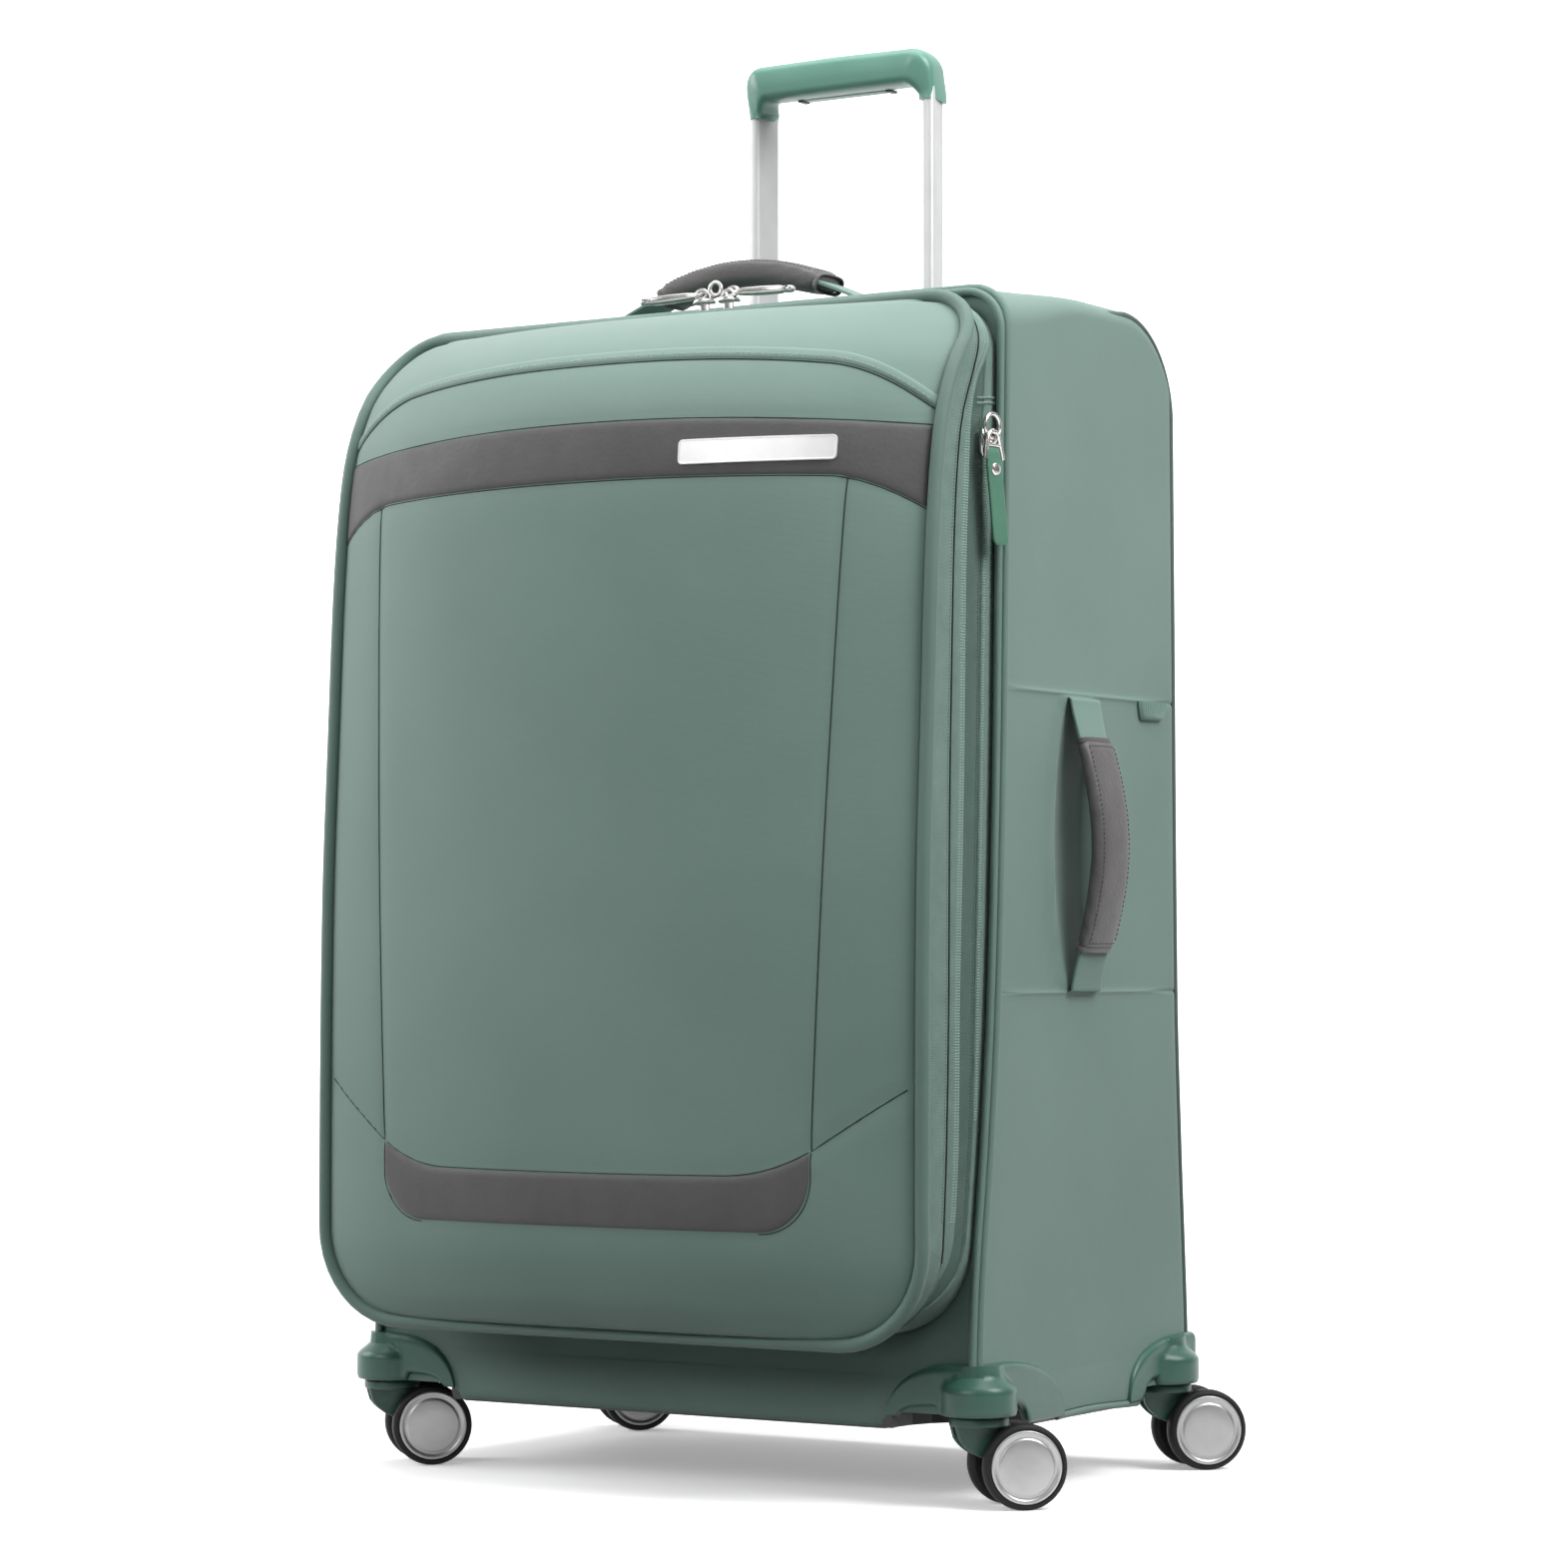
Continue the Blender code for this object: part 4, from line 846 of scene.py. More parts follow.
def lid_end(z, rise):
    """Rows that carry the lid's skin back from its crown to its edge at one end."""
    edge = lid_edge_y(z) + 0.0014
    return [[(x, lid_y(x, z) + (edge - lid_y(x, z)) * t, z + rise * sin(t * pi / 2))
             for x in lid_columns(z)] for t in spread(0.08, 1.0, 10)]


def build_lid():
    """The lid's fabric, its piping, and the zip tape round its edge."""
    foot_end, top_start = LID_LOW + 0.03, 0.7
    rows = spread(LID_LOW, foot_end, 16)[:-1] + spread(foot_end, top_start, 130)[:-1]
    rows += spread(top_start, LID_TOP, 44)
    grid = [[(x, lid_y(x, z), z) for x in lid_columns(z)] for z in rows]
    grid = lid_end(LID_LOW, -0.001)[::-1] + grid + lid_end(LID_TOP, 0.0026)
    shell = loft("lid_fabric", grid, [SAGE, LINING], "lid", ["lid_shell"],
                 closed=False, sharp=60)
    face_front(shell, len(shell.data.polygons) // 2)
    add_lining(shell, 0.003)
    # piping round the lid's edge, the zip tape beside it and their stitches
    path = lid_edge_path(0.0034, 0.0004)
    tube("lid_piping_cord", path, 0.0046, PIPING_LID, "lid", ["lid_piping"], 16,
         closed=True)
    strip("lid_zip_tape",
          [(0.0032, lid_edge_y, 0.003), (0.0004, lid_edge_y, 0.003), (-0.0006, lid_edge_y, 0.0042),
           (-0.0009, lid_edge_y, 0.0065),
           (-0.0008, lambda z: lid_edge_y(z) * 0.5 + zip_y(z) * 0.5, 0.0),
           (-0.0006, zip_y, -0.003), (-0.0002, zip_y, -0.001), (0.0004, zip_y, -0.0003),
           (0.0032, zip_y, -0.0003), (0.0032, lid_edge_y, 0.003)], TAPE, "lid")
    for run in zip_run(-0.0006, lambda z: zip_y(z) - 0.0036, 0.17):
        stitch_row("main_zip_front_stitch", run, (0.0014, 0.0012, 0.0004), COIL, "lid",
                   out=band_out)
    for run in zip_run(-0.0009, lambda z: lid_edge_y(z) + 0.0072, 0.14):
        stitch_row("lid_tape_edge_stitch", run, (0.0016, 0.0005, 0.0003), THREAD_DARK, "lid",
                   pitch=0.0026, out=band_out)


def lid_edge_path(grow, ahead):
    """A closed line round the lid's edge."""
    flat = outline(LID_HALF + grow, LID_LOW - grow, LID_TOP + grow, BAND_CORNER + grow,
                   BAND_FOOT_CORNER + grow, BAND_LEVELS)
    return [(x, lid_edge_y(z) + ahead, z) for x, z in flat]


def lid_patch(name, columns, low_at, high_at, rows, mat, lift=0.0011, edge=0.0016, ends=True):
    """A thin sewn-on panel that follows the lid, its edges turned down to the fabric."""
    grid = []
    heights = [0.0, 0.004, 0.02] + spread(0.06, 0.94, rows) + [0.98, 0.996, 1.0]
    for t in heights:
        line = []
        for x in columns:
            low, high = low_at(x), high_at(x)
            span = max(high - low, 1e-5)
            z = low + span * t
            from_edge = min(t, 1 - t) * span
            if ends:
                from_edge = min(from_edge, abs(columns[-1] - x), abs(x - columns[0]))
            rise = lift * smooth(from_edge / edge) if from_edge < edge else lift
            line.append(on_lid(x, z, rise - 0.0006 * (1 - smooth(from_edge / (edge * 0.6)))))
        grid.append(line)
    patch = loft(name, grid, mat, "lid", closed=False, sharp=70)
    face_front(patch, len(patch.data.polygons) // 2)


def build_lid_details():
    """Grey bands, the pocket flap's binding, and the seams of the lid."""
    half = LID_HALF - 0.0012
    columns = sorted(set([round(x, 5) for x in spread(-half, half, 110)]
                         + [-half + 0.001, half - 0.001, -half + 0.0004, half - 0.0004]))
    lid_patch("grey_band_upper", columns, band_low_z, band_top_z, 14, GREY)
    inner = 0.1662
    columns = sorted(set([round(x, 5) for x in spread(-inner, inner, 90)]
                         + [s * (inner - d) for s in (-1, 1)
                            for d in (0.0003, 0.0008, 0.0015, 0.0025, 0.004)]))
    lid_patch("grey_band_lower", columns, foot_low_z, foot_top_z, 12, GREY)
    # binding of the pocket flap, with its stitches
    limit = 0.229
    columns = spread(-limit, limit, 130)
    lid_patch("pocket_binding", columns, lambda x: pocket_z(x) - 0.0088, pocket_z, 6, SAGE,
              lift=0.0014, edge=0.0014, ends=False)
    crease = [on_lid(x, pocket_z(x) - 0.0093, 0.0001) for x in columns]
    tube("pocket_crease", crease, 0.00055, SHADOW, "lid", sides=6)
    row = [on_lid(x, pocket_z(x) - 0.0058, 0.0013)
           for x in spread(-limit + 0.003, limit - 0.003, 160)]
    stitch_row("pocket_stitches", row, (0.0024, 0.0009, 0.0006), THREAD, "lid",
               pitch=0.0038, out=lambda p: lid_normal(p.x, p.z))
    for n, line in enumerate(seam_polylines()):
        path = [on_lid(x, z, 0.00005) for x, z in line if abs(x) < LID_HALF - 0.001]
        tube(f"lid_seam_{n + 1}", path, 0.00055, SHADOW, "lid", sides=6)
    for name, edge_at, beside, limit in (("upper_top", band_top_z, 0.0004, 0.2295),
                                         ("upper_low", band_low_z, -0.0004, 0.2295),
                                         ("lower_top", foot_top_z, 0.0004, 0.1655)):
        path = [on_lid(x, edge_at(x) + beside) for x in spread(-limit, limit, 120)]
        tube(f"band_crease_{name}", path, 0.00045, SHADOW, "lid", sides=6)
    side = [(0.1668, z) for z in spread(0.2275, 0.21, 8)]
    right = side + [(x, z) for x, z in arc(0.1328, 0.2095, 0.034, spread(0, -pi / 2, 16))
                    if z < 0.21]
    low = right + [(-x, z) for x, z in reversed(right)]
    tube("band_crease_lower_low", [on_lid(x, z) for x, z in low], 0.00045, SHADOW, "lid",
         sides=6)


# ---------------------------------------------------------------- shared shapes for fittings
def rounded_section(width, height, power=4.0, count=24):
    """A superellipse as (across, up) pairs."""
    section = []
    for k in range(count):
        a = 2 * pi * k / count
        c, s = cos(a), sin(a)
        section.append((copysign(abs(c) ** (2 / power), c) * width / 2,
                        copysign(abs(s) ** (2 / power), s) * height / 2))
    return section


def swept(path, across, sections):
    """Rings of a section along a path; `across` is the fixed width direction."""
    points = [Vector(p) for p in path]
    across = Vector(across).normalized()
    rings = []
    for i, point in enumerate(points):
        along = (points[min(i + 1, len(points) - 1)] - points[max(i - 1, 0)]).normalized()
        up = along.cross(across).normalized()
        rings.append([point + across * a + up * b for a, b in sections[i]])
    return rings


def lathe(name, centre, axis, profile, mat, body, replaces=(), count=48, sharp=35):
    """A profile of (radius, height) pairs turned about an axis."""
    axis = Vector(axis).normalized()
    side = axis.orthogonal().normalized()
    other = axis.cross(side)
    rings = []
    for radius, height in profile:
        rings.append([Vector(centre) + axis * height
                      + (side * cos(2 * pi * k / count) + other * sin(2 * pi * k / count)) * radius
                      for k in range(count)])
    return loft(name, rings, mat, body, replaces, caps=(True, True), sharp=sharp)


def ring_path(centre, across, up, width, height, count=28):
    """A closed oval, for wire rings and bails."""
    centre, across, up = Vector(centre), Vector(across), Vector(up)
    return [centre + across * width / 2 * cos(2 * pi * k / count)
            + up * height / 2 * sin(2 * pi * k / count) for k in range(count)]


def block(name, low, high, mat, body, replaces=(), bevel=0.0006):
    """A box with softened edges."""
    bm = bmesh.new()
    bmesh.ops.create_cube(bm, size=1.0)
    low, high = Vector(low), Vector(high)
    for vert in bm.verts:
        vert.co = Vector([(low[i] + high[i]) / 2 + vert.co[i] * (high[i] - low[i])
                          for i in range(3)]) + SHIFT
    bmesh.ops.bevel(bm, geom=bm.edges[:], offset=bevel, segments=2, profile=0.6, affect="EDGES")
    mesh = bpy.data.meshes.new(name)
    bm.to_mesh(mesh)
    bm.free()
    return link(name, mesh, mat, body, replaces, sharp=30)


# ---------------------------------------------------------------- base, guards and casters
def foot_corner(sx, sy):
    """The body's lower corner that a guard wraps."""
    y = front_y(0.075) if sy < 0 else back_y(0.062) + 0.0005
    return Vector((sx * CASE_HALF, y, 0))


def build_base():
    """The body's fabric carried over the edge of the base tray, and the cord along its foot."""
    side = spread(front_y(0.06), back_y(0.06), 60)
    front = spread(-CASE_HALF, CASE_HALF, 80)
    loop = [(CASE_HALF, y, (1, 0)) for y in side] + [(x, side[-1], (0, 1)) for x in reversed(front)]
    loop += [(-CASE_HALF, y, (-1, 0)) for y in reversed(side)] + [(x, side[0], (0, -1))
                                                                  for x in front]
    rings = []
    for out, z in ((-0.0002, 0.0815), (0.0001, 0.0785), (0.0003, 0.0735), (0.0006, 0.067),
                   (0.0008, 0.06), (0.0008, 0.056), (0.0006, 0.052), (-0.0006, 0.0492),
                   (-0.003, 0.0474), (-0.007, 0.0468), (-0.01, 0.0472)):
        ring = []
        for x, y, (nx, ny) in loop:
            rho = min((Vector((x, y)) - Vector((sx * SWIVEL_X, sy * SWIVEL_Y))).length
                      for sx in (-1, 1) for sy in (-1, 1))
            lift = 1 - smooth((rho - GUARD_REACH) / 0.006)
            ring.append((x + nx * out, y + ny * out, max(z, HOUSING_LOW * lift + z * (1 - lift))))
        rings.append(ring)
    loft("base_wrap", rings, SAGE, "case", sharp=60)
    for sx, side_name in reversed(SIDES):
        path = [(sx * (CASE_HALF + 0.0003), y, 0.0502 + 0.001 * sin((y + 0.03) * 40))
                for y in spread(-0.036, 0.078, 24)]
        tube(f"base_cord_{side_name}", path, 0.0023, PIPING, "case", sides=12)
        crease = [(x, y, z + 0.0024) for x, y, z in path]
        tube(f"base_crease_{side_name}", crease, 0.0007, SHADOW, "case", sides=6)


def guard_top(share):
    """Upper edge of a guard, which falls in an arc toward the end of each arm."""
    return 0.055 + 0.0365 * sqrt(max(1 - share ** 3, 0.0))


def cup_reach(point, outward, axis, z):
    """How far the caster's round housing stands out from the body at a height."""
    radius = CUP_R - 0.0092 * min(max((z - 0.0765) / 0.0075, 0.0), 1.0)
    offset = point - axis
    along = offset.dot(outward)
    across = (offset - outward * along).length
    if across >= radius:
        return 0.0
    return max(-along + sqrt(radius ** 2 - across ** 2), 0.0)


def guard_low(rho, inner_end, outer_start, foot):
    """Lower edge of a guard: the housing, then an arch, then the lobe's foot."""
    if rho < CUP_R:
        return HOUSING_LOW
    t = (rho - inner_end) / max(outer_start - inner_end, 1e-6)
    if t < 0:
        return HOUSING_LOW + 0.0055 * smooth((rho - CUP_R) / (inner_end - CUP_R))
    if t > 1:
        return foot
    return foot + (0.0645 - foot) * sqrt(max(1 - t ** 2.6, 0.0))


def build_guard(sx, sy, where):
    """A corner guard of two arms round the body's foot, with the caster's housing in its bend."""
    corner = foot_corner(sx, sy).to_2d()
    axis = Vector((sx * SWIVEL_X, sy * SWIVEL_Y))
    front_run, side_run = 0.067, 0.1075 if sy < 0 else 0.0933
    stations = []
    steps = 40
    for k in range(steps):
        share = 1 - k / steps
        stations.append((corner + Vector((-sx * front_run * share, 0)), Vector((0, sy)), share,
                         front_run))
    for k in range(13):
        angle = radians(7.5 * k)
        stations.append((corner - Vector((sx, sy)) * 0.001,
                         Vector((sx * sin(angle), sy * cos(angle))), 0.0, 0.0))
    for k in range(1, steps + 1):
        share = k / steps
        stations.append((corner + Vector((0, -sy * side_run * share)), Vector((sx, 0)), share,
                         side_run))
    rings = []
    for base, outward, share, run in stations:
        rho = (base - axis).length
        if run <= front_run:
            far, foot = run - 0.013, 0.0562
        else:
            far, foot = run - (0.06 if sy < 0 else 0.047), 0.05
        low = guard_low(rho, CUP_R + 0.0012, max(far, CUP_R + 0.003), foot) if run else HOUSING_LOW
        high = max(guard_top(share), low + 0.003)
        plate = 0.003 + 0.0022 * (1 - share ** 2)
        ring = []
        for height, out in ((0.0, 0.0), (0.0, 0.55), (0.035, 0.85), (0.09, 1.0)):
            z = low + (high - low) * height
            ring.append((z, out * plate))
        for t in spread(0.18, 0.84, 9):
            ring.append((low + (high - low) * t, plate))
        for height, out in ((0.9, 0.95), (0.95, 0.8), (0.985, 0.55), (1.0, 0.2), (1.0, -0.4)):
            ring.append((low + (high - low) * height, out * plate))
        points = []
        for n, (z, out) in enumerate(ring):
            reach = cup_reach(base, outward, axis, max(z, 0.0592)) if 0 < n < len(ring) - 2 else 0.0
            total = (max(out, 0.0) ** 10 + reach ** 10) ** 0.1 if reach > 0 else out
            if n in (1, 2, 3) and reach > plate:
                total = reach - (0.0012, 0.0005, 0.0)[n - 1]
            spot = base + outward * (total + 0.0004)
            points.append((spot.x, spot.y, z))
        points.append((*(base - outward * 0.001), high - 0.001))
        points.append((*(base - outward * 0.001), low + 0.0004))
        rings.append(points)
    loft(f"guard_{where}", rings, GREEN, "case", [f"corner_guard_{where}"],
         caps=(True, True), sharp=42)
    lathe(f"caster_housing_{where}", (axis.x, axis.y, 0), (0, 0, 1),
          [(0.006, 0.0598), (0.0195, 0.0598), (0.0202, 0.0589), (CUP_R - 0.001, 0.0589),
           (CUP_R - 0.0002, 0.0595), (CUP_R - 0.0001, 0.0617), (0.018, 0.0617)], GREEN, "case")


def fork_side():
    """Side outline of a fork: its head, the curved back, the axle boss and the front."""
    back = [(-0.0172, 0.056), (-0.0172, 0.052)]
    for k in range(11):
        angle = radians(205 + 55 * (k / 10))
        back.append((0.0135 + 0.0315 * cos(angle), 0.0545 + 0.0315 * sin(angle) * 0.78))
    boss = arc(TRAIL, WHEEL_R, 0.0085, [radians(a) for a in range(235, 386, 25)])
    return back + boss + [(0.03, 0.039), (0.0245, 0.048), (0.018, 0.0535), (0.0172, 0.056)]


def build_caster(sx, sy, where):
    """A fork of a core and two cheeks under its head, and twin wheels with hub covers."""
    body = f"caster_{where}"
    trail = Vector((cos(TRAIL_ANGLE), sin(TRAIL_ANGLE), 0))
    across = Vector((trail.y, -trail.x, 0))
    pivot = Vector((sx * SWIVEL_X, sy * SWIVEL_Y, 0))

    def plate(offsets, shape):
        """Rings of the fork's outline at (offset across it, shrink toward its middle)."""
        rings = []
        for offset, shrink in offsets:
            ring = []
            for along, height in shape:
                pull = (Vector((0.006, 0.042)) - Vector((along, height))).normalized() * shrink
                ring.append(pivot + trail * (along + pull.x) + across * offset
                            + Vector((0, 0, height + pull.y)))
            rings.append(ring)
        return rings

    shape = fork_side()
    loft(f"fork_{where}_core", plate(((-0.0058, 0.0022), (0.0058, 0.0022)), shape), GREEN_DEEP,
         body, [f"fork_{where}"], caps=(True, True), sharp=35)
    for sign, side in ((-1, "near"), (1, "far")):
        offsets = [(sign * o, s)
                   for o, s in ((0.005, 0.0006), (0.0056, 0.0), (0.0082, 0.0), (0.009, 0.0008))]
        loft(f"fork_{where}_cheek_{side}", plate(offsets, shape), GREEN_DEEP, body,
             caps=(True, True), sharp=35, flip=sign < 0)
    lathe(f"fork_{where}_head", pivot, (0, 0, 1),
          [(0.01, 0.0512), (0.0182, 0.052), (0.0192, 0.053), (0.0192, 0.057), (0.0186, 0.058),
           (0.005, 0.0582)], GREEN_DEEP, body)
    hub = pivot + trail * TRAIL + Vector((0, 0, WHEEL_R))
    for sign, letter in ((-1, "inner"), (1, "outer")):
        wheel = f"wheel_{where}_{letter}"
        centre = hub + across * sign * (WHEEL_INNER + WHEEL_WIDTH / 2)
        axis = across * sign
        half = WHEEL_WIDTH / 2
        tyre = [(0.0035, -half + 0.0012), (0.02, -half + 0.0012), (0.0212, -half), (0.024, -half)]
        for k in range(9):
            angle = radians(-90 + 22.5 * k)
            tyre.append((0.024 + 0.0035 * cos(angle), sin(angle) * 0.0034
                         + (half - 0.0034) * copysign(min(abs(sin(angle)) * 4, 1), angle)))
        tyre += [(0.024, half), (0.0236, half - 0.0008), (0.002, half - 0.0008)]
        lathe(f"{wheel}_tyre", centre, axis, tyre, TYRE, wheel, [wheel], count=56)
        cap = [(0.004, half - 0.001), (0.0234, half - 0.0008), (0.0234, half - 0.0002),
               (0.0229, half + 0.0003), (0.0215, half + 0.0003), (0.0208, half - 0.0001),
               (0.0202, half - 0.0006), (0.0188, half - 0.0007), (0.0183, half - 0.0004),
               (0.0178, half + 0.0001), (0.0168, half + 0.0003), (0.01, half + 0.0006),
               (0.003, half + 0.0007)]
        lathe(f"{wheel}_cap", centre, axis, cap, SILVER, wheel, count=56, sharp=50)


def build_running_gear():
    for sy, end in ((-1, "front"), (1, "rear")):
        for sx, side in SIDES:
            build_guard(sx, sy, f"{end}_{side}")
            build_caster(sx, sy, f"{end}_{side}")


# ---------------------------------------------------------------- pull handle
def grip_profile():
    """Outer and inner edges of half of the grip in X and Z, from a leg's end to the middle."""
    outer = [(0.0762, z) for z in spread(0.9534, 0.9745, 9)]
    outer += arc(0.0622, 0.9757, 0.014, spread(0, pi / 2, 15)[1:])
    outer += [(x, 0.9897 + 0.0008 * (1 - x / 0.0622)) for x in spread(0.056, 0.0, 8)]
    inner = [(0.065 - 0.001 * t, 0.9534 + 0.0046 * t) for t in spread(0, 1, 9)]
    inner += arc(0.055, 0.9552, 0.009, spread(0.3, pi / 2, 15)[1:])
    inner += [(x, 0.9642) for x in spread(0.0485, 0.0, 8)]
    return outer, inner


def build_pull_handle():
    """Moulded grip: two thin legs that hug the tubes and swell into a deep bar ahead of them."""
    outer, inner = grip_profile()
    half = []
    for n, (o, i) in enumerate(zip(outer, inner)):
        t = smooth((n - 2) / 18)
        half.append((Vector((o[0], 0, o[1])), Vector((i[0], 0, i[1])), t))
    run = [(Vector((-o.x, 0, o.z)), Vector((-i.x, 0, i.z)), t, -1) for o, i, t in half]
    run += [(o, i, t, 1) for o, i, t in reversed(half[:-1])]
    rings = []
    for o, i, t, sx in run:
        turn = sx * TUBE_TURN * (1 - t)
        up = (o - i).normalized()
        across = Vector((-sin(turn), cos(turn), 0))
        across = (across - up * across.dot(up)).normalized()
        centre = (o + i) / 2 + Vector((0, TUBE_Y - 0.0085 * t, 0))
        shape = rounded_section(0.0268 + 0.0026 * t, (o - i).length, 4.4 - 1.2 * t, 32)
        rings.append([centre + across * a + up * b for a, b in shape])
    loft("pull_grip", rings, GREEN_GRIP, "pull_handle", ["handle_grip"],
         caps=(True, True), sharp=60)
    for sx, side in SIDES:
        block(f"grip_notch_{side}", (sx * 0.0365 - 0.0022, TUBE_Y - 0.005, 0.963),
              (sx * 0.0365 + 0.0022, TUBE_Y + 0.005, 0.965), BLACK, "pull_handle")
    block("release_bar", (-0.0338, TUBE_Y - 0.0048, 0.9637), (0.0338, TUBE_Y + 0.0048, 0.9668),
          GREEN_GRIP, "release", ["release_button"], 0.0012)
    # recessed plate the tubes rise out of
    block("handle_well_plate", (-0.0886, TUBE_Y - 0.0186, 0.777), (0.0886, TUBE_Y + 0.0186, 0.788),
          GREEN, "case", ["handle_bezel"], 0.0018)
    for sx, side in SIDES:
        rings = []
        for width, z in ((1.3, 0.7866), (1.3, 0.7876), (1.22, 0.788), (1.02, 0.788),
                         (1.02, 0.7866)):
            across = Vector((cos(sx * TUBE_TURN), sin(sx * TUBE_TURN), 0))
            along = Vector((-across.y, across.x, 0))
            grow = (width - 1.0) * 0.01
            rings.append([Vector((sx * TUBE_X, TUBE_Y, z)) + across * a + along * b
                          for a, b in rounded_section(0.0088 + 2 * grow, 0.0253 + 2 * grow, 5, 28)])
        loft(f"tube_collar_{side}", rings, GREEN_DEEP, "case", sharp=35)


# ---------------------------------------------------------------- carry handles
def apply_modifiers(obj):
    """Replace the mesh by what its modifiers make of it."""
    graph = bpy.context.evaluated_depsgraph_get()
    mesh = bpy.data.meshes.new_from_object(obj.evaluated_get(graph))
    obj.modifiers.clear()
    obj.data = mesh
    return mesh


def inflate(obj, cap):
    """Swell a closed pad with a short cloth simulation; no point moves further than cap."""
    scene = bpy.context.scene
    remesh = obj.modifiers.new("remesh", "REMESH")
    remesh.mode = "VOXEL"
    remesh.voxel_size = 0.004
    mesh = apply_modifiers(obj)
    rest = np.array([v.co for v in mesh.vertices])
    cloth = obj.modifiers.new("cloth", "CLOTH")
    cloth.settings.quality = 5
    cloth.settings.mass = 0.3
    cloth.settings.tension_stiffness = 20
    cloth.settings.compression_stiffness = 20
    cloth.settings.use_pressure = True
    cloth.settings.uniform_pressure_force = 4.0
    cloth.settings.effector_weights.gravity = 0
    for number in range(1, 21):
        scene.frame_set(number)
    graph = bpy.context.evaluated_depsgraph_get()
    moved = np.array([v.co for v in obj.evaluated_get(graph).data.vertices])
    obj.modifiers.clear()
    scene.frame_set(1)
    step = moved - rest
    length = np.linalg.norm(step, axis=1, keepdims=True)
    step *= np.minimum(1.0, cap / np.maximum(length, 1e-9))
    for vert, place in zip(mesh.vertices, rest + step):
        vert.co = place
    finer = obj.modifiers.new("finer", "SUBSURF")
    finer.levels = finer.render_levels = 1
    apply_modifiers(obj).shade_smooth()


def build_carry_handle(name, place, half, grip_half, rise, width, thick, power):
    """A webbing strap in an arch with a padded leather grip sewn round its middle."""
    body = name

    def arch(u):
        return 0.0024 + rise * cos(pi * u / (2 * half)) ** power if abs(u) < half else 0.001

    def lifted(u, v, lift):
        """A point of the arch, moved across it and along its own upward direction."""
        tilt = (arch(u + 0.001) - arch(u - 0.001)) / 0.002 if abs(u) < half - 0.002 else 0.0
        return place @ (Vector((u, 0, arch(u))) + Vector((0, 1, 0)) * v
                        + Vector((-tilt, 0, 1)).normalized() * lift)

    def section_rings(ends, sections):
        return [[lifted(u, a, b) for a, b in shape] for u, shape in zip(ends, sections)]

    def pad_spot(u, v):
        """A point just over the pad as it was before it swelled."""
        full = (1 - 0.1 * (abs(u) / grip_half) ** 2) * thick / 2
        return lifted(u, v, full * max(1 - abs(2 * v / (width + 0.004)) ** 3.2, 0.0) ** (1 / 3.2)
                      + 0.0003)

    # strap ends, which stretch from the case to the grip
    for sign, side in ((-1, "a"), (1, "b")):
        ends = [sign * u for u in spread(half + 0.0006, grip_half - 0.006, 26)]
        sections = []
        for u in ends:
            t = smooth((abs(u) - grip_half) / (half - grip_half))
            sections.append(rounded_section(width * (1.0 + 0.06 * t), 0.0032 - 0.0006 * t, 5, 28))
        strap = loft(f"{name}_strap_{side}", section_rings(ends, sections), STRAP, None,
                     [f"{name}_strap"], caps=(True, True), sharp=50, flip=sign > 0)
        start, end = (lifted(sign * u, 0, 0) + SHIFT for u in (half - 0.003, grip_half + 0.001))
        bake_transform(strap)
    ends = spread(-grip_half, grip_half, 46)
    sections = []
    for u in ends:
        edge = min(u + grip_half, grip_half - u)
        close = 0.86 + 0.14 * smooth(edge / 0.004)
        full = 1 - 0.1 * (abs(u) / grip_half) ** 2
        sections.append(rounded_section((width + 0.0036) * (close + 0.06), thick * full * close,
                                        3.2, 32))
    grip = loft(f"{name}_pad", section_rings(ends, sections), GREY_GRIP, None,
                [f"{name}_grip"], caps=(True, True), sharp=50)
    inflate(grip, 0.001)
    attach(grip, body)
    # hems at both ends, and the lines of stitches beside them and along the edge
    for sign, side in ((-1, "a"), (1, "b")):
        ends = [sign * u for u in (grip_half + 0.0012, grip_half + 0.001, grip_half - 0.0016,
                                   grip_half - 0.0026)]
        sections = [rounded_section(width + 0.0022 + d, thick * 0.9 * 0.9 + d, 3.2, 32)
                    for d in (-0.0016, 0.0004, 0.0006, -0.0016)]
        loft(f"{name}_hem_{side}", section_rings(ends, sections), GREY_GRIP, body,
             sharp=50, flip=sign > 0)
    surface = BVHTree.FromPolygons([Vector(v.co) - SHIFT for v in grip.data.vertices],
                                   [tuple(face.vertices) for face in grip.data.polygons])

    def settle(points):
        """Lay a line of stitch points on the pad."""
        found = [surface.find_nearest(point) for point in points]
        return [spot + normal * 0.0002 for spot, normal, _, _ in found]

    out = place.to_3x3() @ Vector((0, 0, 1))
    end, side = grip_half - 0.0052, width * 0.445
    lines = [("a", [(-end, v) for v in spread(-width * 0.46, width * 0.46, 30)]),
             ("b", [(end, v) for v in spread(-width * 0.46, width * 0.46, 30)]),
             ("c", [(u, -side) for u in spread(-end, end, 60)]),
             ("d", [(u, side) for u in spread(-end, end, 60)])]
    for letter, line in lines:
        stitch_row(f"{name}_stitch_{letter}", settle([pad_spot(u, v) for u, v in line]),
                   (0.0022, 0.0007, 0.0005), THREAD_GREY, body, pitch=0.0032,
                   out=lambda p: out)


